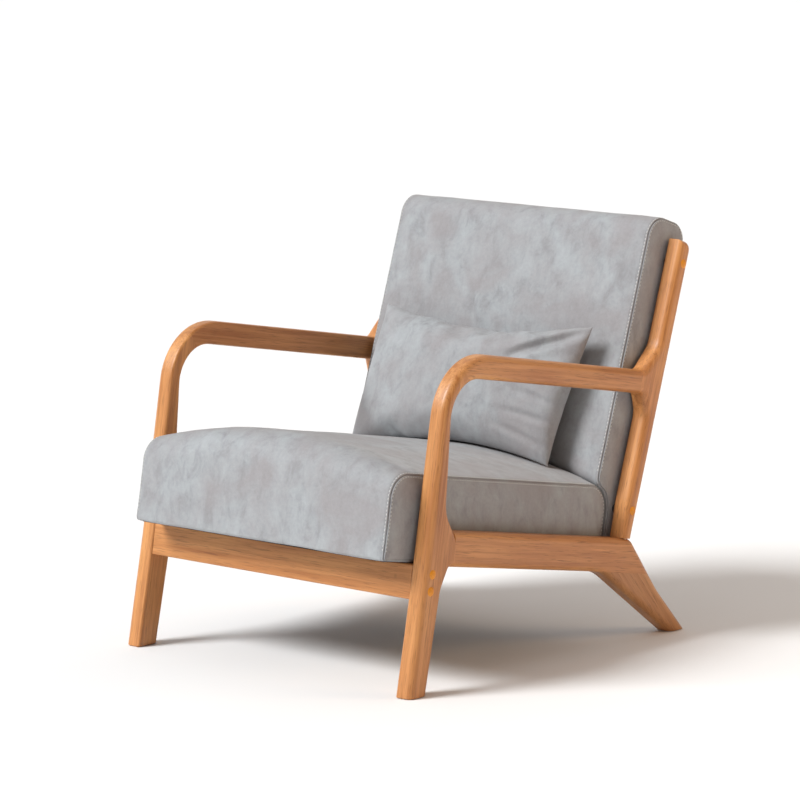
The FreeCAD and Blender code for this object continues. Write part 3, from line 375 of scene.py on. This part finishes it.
def dress_frame():
    """Wood for every timber, each board with grain and tone of its own, and a finish for the fittings."""
    seed = 1.0
    for part, (angle, tone) in BOARDS.items():
        for side in ("left", "right"):
            seed += BOARD_STEP
            shade = tone * (1 + 0.04 * math.sin(seed * 5))
            light, dark = tinted(LIGHT_WOOD, shade), tinted(DARK_WOOD, shade)
            paint(f"{part}_{side}", wood(f"wood_{part}_{side}", angle, seed, light, dark))
    low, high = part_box("front_rail")
    knot = (high.x - KNOT_FROM_END, low.y, high.z - KNOT_FROM_TOP, KNOT_RADIUS)
    paint("front_rail", wood("wood_front_rail", None, seed + BOARD_STEP, LIGHT_WOOD, DARK_WOOD, [knot]))
    pine = wood("pine_hidden", None, 40, (0.72, 0.55, 0.34), (0.58, 0.40, 0.22))
    cap = moulded("cap_plastic", (0.82, 0.30, 0.008), 0.42)
    black = moulded("spacer_plastic", (0.02, 0.02, 0.02), 0.5)
    glide = moulded("glide_plastic", (0.10, 0.06, 0.035), 0.45)
    steel = zinc("zinc_steel")
    straps = woven("strap_webbing", (0.10, 0.09, 0.08), (0.02, 0.02, 0.02), 2 * MM)
    lining = woven("dust_lining", (0.035, 0.035, 0.037), (0.012, 0.012, 0.012), 1.2 * MM)
    filling = suede("filling_fibre", (0.80, 0.79, 0.74), (0.78, 0.75, 0.66), (0.70, 0.68, 0.6))
    finishes = {
        "frame_wood": None, "hidden_wood": pine, "cap_plastic": cap, "spacer_plastic": black,
        "glide_plastic": glide, "steel": steel, "webbing": straps, "dust_fabric": lining,
        "filling": filling, "upholstery_fabric": filling,
    }
    for entry in frame["record"]["subparts"]:
        material = finishes[entry["material_slot"]]
        if material:
            paint(entry["node"], material)


def paint(node, material):
    slots = NODES[node].data.materials
    slots.clear()
    slots.append(material)


# ---------------------------------------------------------------- boxed cushions

SEAM_ROUND = 6 * MM          # rounding of a cushion's edges on each side of the seam
SEAM_SINK = 3.0 * MM         # how deep the thread pulls the seam in
SEAM_FACES = 2               # rows of faces on each side of the seam that lie in its groove and take the painted seam shade
ROW_OFFSET = 4.8 * MM        # the two rows of stitches lie this far from the seam
ROW_SINK = 1.2 * MM
EDGE_ARC = SEAM_ROUND * math.pi / 4


def seam_section(distance):
    """Offsets along x and outwards at a distance from the seam; a negative distance is the side."""
    bend = math.pi / 4 - np.clip(distance / SEAM_ROUND, -math.pi / 4, math.pi / 4)
    flat = np.maximum(np.abs(distance) - EDGE_ARC, 0)
    across = SEAM_ROUND * (np.sin(bend) - 1) - np.where(distance > 0, flat, 0)
    inward = SEAM_ROUND * (np.cos(bend) - 1) - np.where(distance < 0, flat, 0)
    dip = SEAM_SINK * np.exp(-(distance / (1.5 * MM)) ** 2)
    dip = dip + ROW_SINK * np.exp(-((np.abs(distance) - ROW_OFFSET) / (1.3 * MM)) ** 2)
    return across - dip * np.sin(bend), inward - dip * np.cos(bend)


def loop_normals(loop):
    """Outward unit normals of a closed outline."""
    ahead = np.roll(loop, -1, axis=0) - np.roll(loop, 1, axis=0)
    normals = np.stack([ahead[:, 1], -ahead[:, 0]], axis=1)
    normals /= np.linalg.norm(normals, axis=1)[:, None]
    x, y = loop[:, 0], loop[:, 1]
    area = np.sum(x * np.roll(y, -1) - np.roll(x, -1) * y)
    return normals if area > 0 else -normals


class BoxedCushion:
    """A panel wrapped over an outline that may vary along x, sewn to a panel on each side."""

    near = np.array([0, 0.5, 1, 1.6, 2.3, 3.0, 3.8, 4.6, 5.4, 6.5, 8.5, 11.5, 15, 20, 27, 36]) * MM
    rings = 9

    def __init__(self, tipped, loop_at, puff, side_puff, middle, grow):
        self.tipped, self.loop_at, self.puff, self.side_puff = tipped, loop_at, puff, side_puff
        self.middle = middle
        self.half = tipped.half + grow

    def inset(self, loop, depth):
        """The outline moved towards the side's middle line, so that no corner folds over."""
        toward = self.middle(loop) - loop
        return loop + toward / np.linalg.norm(toward, axis=1)[:, None] * depth

    def wrap_row(self, side, distance, loop=None):
        """The wrapped panel's points at a distance from its seam on one side."""
        across, inward = seam_section(distance)
        x = side * (self.half + float(across))
        loop = self.loop_at(x) if loop is None else loop
        points = self.inset(loop, -float(inward))
        world = self.tipped.world(np.full(len(points), x), points[:, 0], points[:, 1])
        return world, points

    def puffed(self, world, points, x):
        """World points pushed out along the outline's normals by the cushion's filling."""
        normals = loop_normals(points)
        rise = self.puff(world, points, x)
        along, up = self.tipped.along, self.tipped.up
        return world + rise[:, None] * (normals[:, :1] * along + normals[:, 1:] * up)

    def row(self, side, distance):
        world, points = self.wrap_row(side, distance)
        return self.puffed(world, points, world[0][0])

    def side_row(self, side, distance):
        """The side panel's points at a distance from its seam."""
        across, inward = seam_section(-distance)
        loop = self.loop_at(side * self.half)
        points = self.inset(loop, -float(inward))
        x = side * (self.half + float(across))
        return self.tipped.world(np.full(len(points), x), points[:, 0], points[:, 1])

    def side_rings(self, side):
        """The side panel's points, ring by ring, from its seam to its middle line."""
        rows = [self.side_row(side, distance) for distance in self.near[1:9]]
        u, w = self.tipped.local(rows[-1])
        start = np.stack([u, w], axis=1)
        ends = self.middle(start)
        for ring in range(1, self.rings + 1):
            share = ring / self.rings * 0.93
            points = start + (ends - start) * share
            x = side * (self.half + self.side_puff * math.sin(share * math.pi / 2))
            rows.append(self.tipped.world(np.full(len(points), x), points[:, 0], points[:, 1]))
        return rows

    def mesh(self, name, columns):
        distances = list(self.near)
        inner = self.half - SEAM_ROUND - (distances[-1] - EDGE_ARC)
        rows = [self.row(-1, distance) for distance in distances]
        for x in np.linspace(-inner, inner, columns)[1:-1]:
            loop = self.loop_at(x)
            world = self.tipped.world(np.full(len(loop), x), loop[:, 0], loop[:, 1])
            rows.append(self.puffed(world, loop, x))
        rows += [self.row(1, distance) for distance in reversed(distances)]
        wrapped = len(rows)
        rows = list(reversed(self.side_rings(-1))) + rows + self.side_rings(1)
        before = (len(rows) - wrapped) // 2
        count = len(rows[0])
        faces = []
        for r in range(len(rows) - 1):
            for k in range(count):
                nxt = (k + 1) % count
                faces.append((r * count + k, (r + 1) * count + k, (r + 1) * count + nxt, r * count + nxt))
        last = (len(rows) - 1) * count
        faces.append(tuple(range(count)))
        faces.append(tuple(last + k for k in reversed(range(count))))
        piece = new_mesh(name, np.concatenate(rows), faces)
        seams = (before, before + wrapped - 1)
        for face in piece.data.polygons:
            row = face.index // count
            # The wrapped panel takes slot 0; the side panels take slot 1, the suede darkened as painted
            # shade.
            face.material_index = 0 if seams[0] <= row < seams[1] else 1
            # Faces in a seam's groove take slot 2, the suede darkened there as painted shade.
            if any(-SEAM_FACES <= row - seam < SEAM_FACES for seam in seams):
                face.material_index = 2
        outward(piece)
        return piece


def along_path(at, reach, values):
    """The values' interpolation at a distance along the path."""
    return np.array([np.interp(at, reach, values[:, k]) for k in range(values.shape[1])])


def stitches(name, rows, step, length, radius):
    """A row of short threads along each path of (points, normals)."""
    vertices, faces = [], []
    sides, rings = 6, (0.0, 0.18, 0.5, 0.82, 1.0)
    swell = (0.35, 0.85, 1.0, 0.85, 0.35)
    for points, normals in rows:
        reach = np.concatenate([[0], np.cumsum(np.linalg.norm(np.diff(points, axis=0), axis=1))])
        for begin in np.arange(step, reach[-1] - step, step):
            a, b = along_path(begin, reach, points), along_path(begin + length, reach, points)
            up = along_path(begin, reach, normals)
            along = (b - a) / np.linalg.norm(b - a)
            across = np.cross(along, up)
            across /= np.linalg.norm(across)
            up = np.cross(across, along)
            first = len(vertices)
            for share, wide in zip(rings, swell):
                lift = up * radius * (1.5 * math.sin(share * math.pi) - 0.45)
                for k in range(sides):
                    turn = 2 * math.pi * k / sides
                    ring = across * math.cos(turn) + up * math.sin(turn)
                    vertices.append(a + (b - a) * share + lift + ring * radius * wide)
            for r in range(len(rings) - 1):
                for k in range(sides):
                    n = (k + 1) % sides
                    faces.append((first + r * sides + k, first + r * sides + n,
                                  first + (r + 1) * sides + n, first + (r + 1) * sides + k))
            faces.append(tuple(first + k for k in reversed(range(sides))))
            faces.append(tuple(first + (len(rings) - 1) * sides + k for k in range(sides)))
    piece = new_mesh(name, vertices, faces)
    outward(piece)
    return piece


def seam_rows(cushion, first, last):
    """Paths of both rows of stitches on both sides, between two shares of the outline."""
    rows = []
    for side in (-1, 1):
        for row in (cushion.row(side, ROW_OFFSET), cushion.side_row(side, ROW_OFFSET)):
            count = len(row)
            part = row[int(first * count):int(last * count)]
            loop = cushion.loop_at(side * cushion.half)
            normals = loop_normals(loop)[int(first * count):int(last * count)]
            along, up = cushion.tipped.along, cushion.tipped.up
            out = normals[:, :1] * along + normals[:, 1:] * up + np.array([side, 0, 0])
            rows.append((part, out / np.linalg.norm(out, axis=1)[:, None]))
    return rows


# Seat. Its sides are as high as its cover's side panels, and its middle is crowned.
SEAT_CROWN = 42 * MM
SEAT_SIDE_HEIGHT = SEAT.height - SEAT_CROWN
SEAT_FLOOR = 0.4 * MM
FRONT_LOWER_ROUND, REAR_LOWER_ROUND = 5 * MM, 3.5 * MM
SEAT_FRONT_ROUND, SEAT_REAR_ROUND = (42 * MM, 16 * MM), (46 * MM, 4 * MM)    # at a side, more in the middle
CUSHION_GROW, REAR_GROW = 2 * MM, 1 * MM    # the seat cushion stands this far out, to cover its inner frame
NOTCH_GAP = 2.2 * MM
SEAT_BULGE, SEAT_FOLD, SEAT_SWELL = 5 * MM, 1.1 * MM, 1.4 * MM
PUFF_EDGE = 40 * MM          # the filling's unevenness fades out this far from the seams
FOLD_TURN = np.array(Matrix.Rotation(math.radians(35), 3, "Z"))


def crown(x):
    return SEAT_CROWN * (1 - np.minimum(np.abs(x) / SEAT.half, 1) ** 2)


def seat_loop(x):
    top = SEAT_SIDE_HEIGHT + crown(x)
    share = crown(x) / SEAT_CROWN
    front_round, rear_round = (side + more * share for side, more in (SEAT_FRONT_ROUND, SEAT_REAR_ROUND))
    middle, front, rear = (SEAT.length / 2, SEAT_FLOOR), -CUSHION_GROW, SEAT.length + REAR_GROW
    corners = [middle, (rear, SEAT_FLOOR), (rear, top), (front, top), (front, SEAT_FLOOR), middle]
    radii = [REAR_LOWER_ROUND, rear_round, front_round, FRONT_LOWER_ROUND]
    return outline(corners, radii, (16, 30, 60, 34, 16))[:-1]


def seat_puff(world, points, x):
    share = 1 - (abs(x) / SEAT.half) ** 2
    u, w = points[:, 0] / SEAT.length, points[:, 1] / SEAT.height
    front = SEAT_BULGE * np.exp(-(u / 0.12) ** 2) * np.sin(np.clip(w, 0, 1) * math.pi) * share ** 0.5
    above = np.clip((w - 0.62) * 6, 0, 1)
    edge = np.clip((SEAT.half - abs(x)) / PUFF_EDGE, 0, 1)
    folds = fractal(world @ FOLD_TURN, np.array([0.16, 0.034, 0.05]), 3, 2)
    swell = fractal(world, np.array([0.14, 0.14, 0.14]), 5, 2)
    return front + edge * (above * folds * SEAT_FOLD + swell * SEAT_SWELL)


def nearest_on(line):
    """Sends outline points to the nearest points of a broken line, a cushion side's middle line."""
    line = np.array(line)

    def middle(points):
        best, gap = points.copy(), np.full(len(points), np.inf)
        for start, end in zip(line[:-1], line[1:]):
            run = end - start
            share = np.clip((points - start) @ run / (run @ run), 0, 1)
            foot = start + share[:, None] * run
            away = np.linalg.norm(points - foot, axis=1)
            best[away < gap] = foot[away < gap]
            gap = np.minimum(gap, away)
        return best
    return middle


seat_shape = BoxedCushion(
    SEAT, seat_loop, seat_puff, side_puff=3.5 * MM, grow=CUSHION_GROW,
    middle=nearest_on([(SEAT_SIDE_HEIGHT / 2, SEAT_SIDE_HEIGHT / 2),
                       (SEAT.length - SEAT_SIDE_HEIGHT / 2, SEAT_SIDE_HEIGHT / 2)]))


# Back. Its lower end is notched to pass over and behind the seat.
BACK_FRONT_ROUND, BACK_REAR_ROUND, BACK_FOOT_ROUND = 40 * MM, 35 * MM, 4 * MM
BACK_BULGE, BACK_REAR_BULGE, BACK_SWELL = 7 * MM, 3 * MM, 1.3 * MM
NOTCH_EASE, FOOT_EASE = 20 * MM, 4 * MM


def notch_path(x):
    """The seat's outline, a little larger, in the back's frame, from the back's front to its foot."""
    loop = seat_loop(x)
    loop = loop + loop_normals(loop) * NOTCH_GAP
    u, w = BACK.local(SEAT.world(np.full(len(loop), x), loop[:, 0], loop[:, 1]))
    path = np.stack([u, w], axis=1)[::-1]
    start = np.argmax(path[:, 1])
    path = np.roll(path, -start, axis=0)
    inside = np.where((path[:, 0] > 0) & (path[:, 1] > 0))[0]
    breaks = np.where(np.diff(inside) > 1)[0]
    last = inside[breaks[0]] if len(breaks) else inside[-1]
    first = inside[0]
    before, after = path[first - 1], path[(last + 1) % len(path)]
    share = before[0] / (before[0] - path[first][0])
    entry = before + (path[first] - before) * share
    share = path[last][1] / (path[last][1] - after[1])
    leave = path[last] + (after - path[last]) * share
    return np.vstack([entry, path[first:last + 1], leave])


def eased(loop, corner, reach):
    """A closed outline whose corner at the given point is rounded over the given reach on each side."""
    loop = np.roll(loop, -corner, axis=0)
    steps = np.linalg.norm(np.roll(loop, -1, axis=0) - loop, axis=1)
    after = np.concatenate([[0], np.cumsum(steps[:-1])])
    place = np.where(after > after[-1] / 2, after - steps.sum(), after)
    near = np.abs(place) < reach
    order = np.argsort(place)
    ends = [along_path(at, place[order], loop[order]) for at in (-reach, reach)]
    share = ((place[near] / reach + 1) / 2)[:, None]
    tip = loop[0].copy()
    loop[near] = (1 - share) ** 2 * ends[0] + 2 * share * (1 - share) * tip + share ** 2 * ends[1]
    return np.roll(loop, corner, axis=0)


def back_loop(x):
    notch = resampled(notch_path(x), 56)
    thick, high = BACK.length, BACK.height
    corners = [tuple(notch[-1]), (thick, 0), (thick, high), (0, high), tuple(notch[0])]
    rest = outline(corners, [BACK_FOOT_ROUND, BACK_REAR_ROUND, BACK_FRONT_ROUND], (12, 60, 10, 90))
    loop = np.concatenate([notch[:-1], rest[:-1]])
    return eased(eased(loop, 0, NOTCH_EASE), len(notch) - 1, FOOT_EASE)


def back_fullness(x, w):
    """Share of the back's bulge at x and at a height w above its foot."""
    rise = np.sin(np.clip((w / BACK.height - 0.2) / 0.8, 0, 1) * math.pi) ** 0.7
    return np.clip(1 - (x / BACK.half) ** 2, 0, 1) * rise


def back_puff(world, points, x):
    u, w = points[:, 0] / BACK.length, points[:, 1] / BACK.height
    facing = np.exp(-(u / 0.2) ** 2) * (w > 0.25)
    behind = np.exp(-((u - 1) / 0.2) ** 2)
    edge = np.clip((BACK.half - abs(x)) / PUFF_EDGE, 0, 1)
    swell = fractal(world, np.array([0.15, 0.15, 0.15]), 9, 2)
    bulge = (BACK_BULGE * facing + BACK_REAR_BULGE * behind) * back_fullness(x, points[:, 1])
    return bulge + edge * swell * BACK_SWELL * (w > 0.3)


back_shape = BoxedCushion(
    BACK, back_loop, back_puff, side_puff=2.5 * MM, grow=0,
    middle=nearest_on([(BACK.length * 0.88, 12 * MM), (BACK.length * 0.86, 95 * MM),
                       (BACK.length * 0.5, 175 * MM), (BACK.length * 0.5, BACK.height - BACK.length / 2)]))


# ---------------------------------------------------------------- loose pillow

PILLOW_LOW, PILLOW_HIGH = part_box("pillow_cover")
PILLOW_MIDDLE = (PILLOW_LOW.x + PILLOW_HIGH.x) / 2
PILLOW_WIDTH = PILLOW_HIGH.x - PILLOW_LOW.x
PILLOW_TOP = 371 * MM        # its upper seam, above the back's foot along the back
PILLOW_FOOT = 102 * MM       # its lower corners, which hang over the seat's falling sides
PILLOW_SEAM = -44 * MM       # its seams lie this far ahead of the back
PILLOW_SHEAR = 31 * MM       # its top has slipped to the sitter's left of its foot
PILLOW_FRONT, PILLOW_REAR = 62 * MM, 40 * MM    # how far it swells ahead of its seams and behind them
CLOTH_WIDTH, CLOTH_HEIGHT = 515 * MM, 285 * MM  # the flat panels
PILLOW_SLUMP = 6 * MM        # how far its lower rim would sink into the seat
PILLOW_GRID = (52, 92)       # rows and columns of the cloth
PILLOW_EASING = 14           # rounds of smoothing
EAR_DROP = 7 * MM            # how far the sitter's left lower ear hangs down the seat's side
PILLOW_REST, REST_SOFT = 2.5 * MM, 2.5 * MM
PILLOW_CREASES = (           # from, to (shares of half the width and of the height), depth, width
    ((1.0, 0.97), (0.40, 0.76), 10 * MM, 9 * MM),
    ((0.99, 0.42), (0.55, 0.50), 3.2 * MM, 6 * MM),
    ((0.99, 0.30), (0.50, 0.33), 3.6 * MM, 6 * MM),
    ((0.97, 0.12), (0.45, 0.22), 3.0 * MM, 6 * MM),
    ((-0.98, 0.90), (-0.62, 0.74), 3.0 * MM, 7 * MM),
)
CLOTH_FRAMES = 34


def flat_pillow(width, height, columns, rows):
    """Two flat panels sewn together around their rim, a little apart in the middle."""
    vertices, index = [], {}
    for face in (1, -1):
        for r in range(rows + 1):
            for c in range(columns + 1):
                rim = r in (0, rows) or c in (0, columns)
                if rim and face == -1:
                    index[face, r, c] = index[1, r, c]
                    continue
                x, w = c / columns * 2 - 1, r / rows * 2 - 1
                lift = 6 * MM * (1 - x ** 4) * (1 - w ** 4) if not rim else 0
                index[face, r, c] = len(vertices)
                vertices.append((x * width / 2, face * lift, w * height / 2))
    faces = []
    for face in (1, -1):
        for r in range(rows):
            for c in range(columns):
                around = ((r, c), (r, c + 1), (r + 1, c + 1), (r + 1, c))
                quad = [index[face, row, column] for row, column in around]
                faces.append(tuple(quad if face == -1 else reversed(quad)))
    corners = [index[1, 0, 0], index[1, 0, columns], index[1, rows, 0], index[1, rows, columns]]
    return new_mesh("pillow", vertices, faces), corners


def inflate(piece):
    """Blow the sewn panels up as cloth, so that the rims pull in and crease between the corners."""
    cloth = piece.modifiers.new("Cloth", "CLOTH")
    settings = cloth.settings
    settings.quality = 7
    settings.mass = 0.25
    settings.tension_stiffness = settings.compression_stiffness = 28
    settings.shear_stiffness = 12
    settings.bending_stiffness = 0.35
    settings.use_pressure = True
    settings.uniform_pressure_force = 4.5
    settings.effector_weights.gravity = 0
    settings.air_damping = 4
    cloth.collision_settings.use_self_collision = False
    cloth.point_cache.frame_end = CLOTH_FRAMES
    for step in range(1, CLOTH_FRAMES + 1):
        bpy.context.scene.frame_set(step)
    applied(piece)
    bpy.context.scene.frame_set(1)


def make_pillow():
    rows, columns = PILLOW_GRID
    piece, corners = flat_pillow(CLOTH_WIDTH, CLOTH_HEIGHT, columns, rows)
    inflate(piece)
    points = np.array([v.co for v in piece.data.vertices])
    points = smoothed(piece, points, corners)
    half_width = np.abs(points[corners][:, 0]).mean()
    across = points[:, 0] / half_width
    low, high = rim_line(points, corners, across, -1), rim_line(points, corners, across, 1)
    rise = (points[:, 2] - low) / np.maximum(high - low, MM)
    depth = -points[:, 1]
    front, rear = PILLOW_FRONT / -depth.min(), PILLOW_REAR / depth.max()
    depth = depth * np.where(depth < 0, front, rear)
    depth = depth + np.where(depth < 0, creases(across, rise), 0)
    x = PILLOW_MIDDLE + across * PILLOW_WIDTH * 0.504 + (rise - 0.5) * PILLOW_SHEAR
    half_height = np.abs(points[corners][:, 2]).mean()
    foot = PILLOW_FOOT + crown(x) - crown(PILLOW_WIDTH / 2)
    foot = foot - PILLOW_SLUMP * np.clip(1 - across ** 4, 0, 1) - EAR_DROP * np.clip(across, 0, 1) ** 6
    top = PILLOW_TOP + (high / half_height - 1) * (PILLOW_TOP - PILLOW_FOOT) / 2
    world = BACK.world(x, PILLOW_SEAM + depth, foot + rise * (top - foot))
    world = resting(world, x)
    for vertex, point in zip(piece.data.vertices, world):
        vertex.co = point
    outward(piece)
    return subdivide(piece)


def smoothed(piece, points, corners):
    """The cloth with its finest wrinkles eased, most of all along its lower side; corners stay."""
    edges = np.array([edge.vertices[:] for edge in piece.data.edges])
    count = np.bincount(edges.ravel(), minlength=len(points))[:, None]
    rise = (points[:, 2] / np.abs(points[corners][:, 2]).mean() + 1) / 2
    lower = np.clip(0.75 - rise, 0.12, 0.6)[:, None]
    lower[corners] = 0
    for _ in range(PILLOW_EASING):
        total = np.zeros_like(points)
        np.add.at(total, edges[:, 0], points[edges[:, 1]])
        np.add.at(total, edges[:, 1], points[edges[:, 0]])
        points = points + (total / count - points) * lower
    return points


def rim_line(points, corners, across, side):
    """Height of the lower (-1) or upper (1) rim at each share of the width."""
    rows, columns = PILLOW_GRID
    first = 0 if side < 0 else rows * (columns + 1)
    rim = points[first:first + columns + 1]
    half_width = np.abs(points[corners][:, 0]).mean()
    return np.interp(across, rim[:, 0] / half_width, rim[:, 2])


def creases(across, rise):
    """Depth of the folds below the upper ears and of the puckers beside the sitter's left edge."""
    size = np.array([PILLOW_WIDTH / 2, PILLOW_TOP - PILLOW_FOOT])
    depth = np.zeros(len(across))
    for start, end, deep, wide in PILLOW_CREASES:
        run = (np.array(end) - start) * size
        spot = (np.stack([across, rise], axis=1) - start) * size
        length = np.linalg.norm(run)
        share = spot @ run / length ** 2
        off = (spot[:, 0] * run[1] - spot[:, 1] * run[0]) / length / wide
        fade = np.sin(np.clip(share, 0, 1) * math.pi) ** 0.7
        groove = np.exp(-off ** 2)
        ridges = 0.5 * np.exp(-(off - 1.9) ** 2) + 0.35 * np.exp(-(off + 1.9) ** 2)
        depth += deep * fade * (groove - ridges)
    return depth


def resting(world, x):
    """Points kept clear of the seat and of the back, where the pillow lies on them."""
    _, w = SEAT.local(world)
    floor = SEAT_SIDE_HEIGHT + crown(x) + PILLOW_REST
    world = world + pushed(floor - w) * SEAT.up
    u, w = BACK.local(world)
    wall = -PILLOW_REST - BACK_BULGE * back_fullness(x, w)
    return world - pushed(u - wall) * BACK.along


def pushed(short):
    """How far points are pushed back, given how far they are past a surface, as one column."""
    return (np.logaddexp(short / REST_SOFT, 0) * REST_SOFT)[:, None]


# ---------------------------------------------------------------- the pieces

def dress(piece, materials, body, slot, *replaced):
    piece.data.materials.clear()
    for material in materials:
        piece.data.materials.append(material)
    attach(piece, body)
    if replaced:
        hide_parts(*replaced)


SUEDE_TONES = (0.325, 0.339, 0.352), (0.285, 0.268, 0.273), (0.245, 0.246, 0.256)    # cool, warm, deep
# Painted shade: the cushions' side panels get a darker, warmer copy of the suede, for the sides turned from
# the light.
PAINTED_SIDE_SHADE = (0.72, 0.64, 0.63)
# Painted shade: the faces in the seam grooves get a much darker copy of the suede, for the shade that falls
# in the grooves.
PAINTED_SEAM_SHADE = 0.35
FABRIC = "upholstery_fabric"
COLUMNS = 66                 # places across a boxed cushion's middle, both ends counted
STITCH_STEP, STITCH_LENGTH, STITCH_RADIUS = 6.6 * MM, 4.0 * MM, 0.9 * MM
SEAT_STITCHED, BACK_STITCHED = (0.14, 0.865), (0.3, 0.995)    # stitched part of each outline

suede_cloth = suede("suede_cloth", *SUEDE_TONES)
suede_painted_side_shade = suede("suede_painted_side_shade", *(tinted(tone, PAINTED_SIDE_SHADE) for tone in SUEDE_TONES))
suede_painted_seam_shade = suede("suede_painted_seam_shade", *(tinted(tone, PAINTED_SEAM_SHADE) for tone in SUEDE_TONES))
stitch_thread = thread("stitch_thread", (0.64, 0.64, 0.62))
# Slots of the cushions: the suede, its copy darkened as painted side shade, and its copy darkened as
# painted seam shade.
cushion_cloth = [suede_cloth, suede_painted_side_shade, suede_painted_seam_shade]

dress_frame()
seat_cushion = seat_shape.mesh("seat_cushion", COLUMNS)
dress(seat_cushion, cushion_cloth, "chair", FABRIC, "seat_cover", "seat_foam")
back_cushion = back_shape.mesh("back_cushion", COLUMNS)
dress(back_cushion, cushion_cloth, "chair", FABRIC, "back_cover", "back_foam")
pillow = make_pillow()
dress(pillow, [suede_cloth], "pillow", FABRIC, "pillow_cover", "pillow_filling")
sewn = ("seat_stitches", seat_shape, SEAT_STITCHED), ("back_stitches", back_shape, BACK_STITCHED)
for name, shape, part in sewn:
    row = stitches(name, seam_rows(shape, *part), STITCH_STEP, STITCH_LENGTH, STITCH_RADIUS)
    dress(row, [stitch_thread], "chair", FABRIC)

# ---------------------------------------------------------------- floor, light, camera

FLOOR_REACH = 30
SUN_FROM = Vector((-0.35, -0.66, 0.66))
SUN_STRENGTH, SUN_SPREAD, SUN_COLOUR = 3.3, math.radians(24), (0.97, 0.99, 1)
WARM_FROM, WARM_AT = Vector((3.0, 1.7, 1.7)), Vector((0.2, 0.2, 0.45))    # at the sitter's left
WARM_SIZE, WARM_POWER, WARM_COLOUR = 1.6, 26, (1, 0.70, 0.45)
ROOM_STRENGTH, ROOM_LEFT = 0.58, (0.33, 0.215, 0.14, 1)    # the room's light, and its tint from that side


def lamp(name, kind, strength, colour, turn):
    """A lamp of the given kind, and its light, for the caller to shape and place."""
    light = bpy.data.lights.new(name, kind)
    light.energy = strength
    light.color = colour
    piece = bpy.data.objects.new(name, light)
    piece.rotation_euler = turn.to_euler()
    bpy.context.scene.collection.objects.link(piece)
    return piece, light


def stage():
    """Pale floor, a soft sun, a warm lamp at the sitter's left and a room that is dim and warm there."""
    corners = [(-1, -1), (1, -1), (1, 1), (-1, 1)]
    floor = new_mesh("floor", [(x * FLOOR_REACH, y * FLOOR_REACH, 0) for x, y in corners],
                     [(0, 1, 2, 3)], smooth=False)
    made = Nodes("floor_paint")
    made.link(made.ramp(made.noise(made.place, scale=3), (0.3, 0.90), (0.7, 0.91)),
              made.shader.inputs["Base Color"])
    made.set(Roughness=0.9)
    floor.data.materials.append(made.material)
    _, sun = lamp("key", "SUN", SUN_STRENGTH, SUN_COLOUR, SUN_FROM.to_track_quat("Z", "Y"))
    sun.angle = SUN_SPREAD
    turn = (WARM_AT - WARM_FROM).to_track_quat("-Z", "Y")
    warm, light = lamp("warm_side", "AREA", WARM_POWER, WARM_COLOUR, turn)
    warm.location = WARM_FROM
    light.shape = "DISK"
    light.size = WARM_SIZE
    room = bpy.data.worlds.new("studio")
    room.use_nodes = True
    tree = room.node_tree
    heading = tree.nodes.new("ShaderNodeSeparateXYZ")
    tree.links.new(tree.nodes.new("ShaderNodeTexCoord").outputs["Generated"], heading.inputs[0])
    shade = tree.nodes.new("ShaderNodeValToRGB")
    shade.color_ramp.elements[0].color = (1, 1, 1, 1)
    shade.color_ramp.elements[1].position = 0.75
    shade.color_ramp.elements[1].color = ROOM_LEFT
    tree.links.new(heading.outputs["X"], shade.inputs["Fac"])
    tree.links.new(shade.outputs["Color"], tree.nodes["Background"].inputs["Color"])
    tree.nodes["Background"].inputs["Strength"].default_value = ROOM_STRENGTH
    bpy.context.scene.world = room


CAMERA_AZIMUTH, CAMERA_ELEVATION, CAMERA_ROLL = (math.radians(angle) for angle in (40.0, 8.8465, 0.407))
CAMERA_AT, CAMERA_DISTANCE = Vector((-22.7, -8.3, 429.0)) * MM, 7325.8 * MM
CAMERA_LENS = 184.52


def camera():
    """Camera at the photograph's viewing angle, aimed at the chair's middle."""
    turn = Matrix.Rotation(CAMERA_AZIMUTH, 4, "Z") @ Matrix.Rotation(math.pi / 2 - CAMERA_ELEVATION, 4, "X")
    turn = turn @ Matrix.Rotation(CAMERA_ROLL, 4, "Z")
    away = turn.to_3x3() @ Vector((0, 0, CAMERA_DISTANCE))
    lens = bpy.data.cameras.new("camera")
    lens.lens = CAMERA_LENS
    lens.clip_end = 100
    eye = bpy.data.objects.new("camera", lens)
    eye.matrix_world = Matrix.Translation(CAMERA_AT + away) @ turn
    bpy.context.scene.collection.objects.link(eye)
    bpy.context.scene.camera = eye


bpy.context.scene.view_settings.view_transform = "Standard"
stage()
camera()
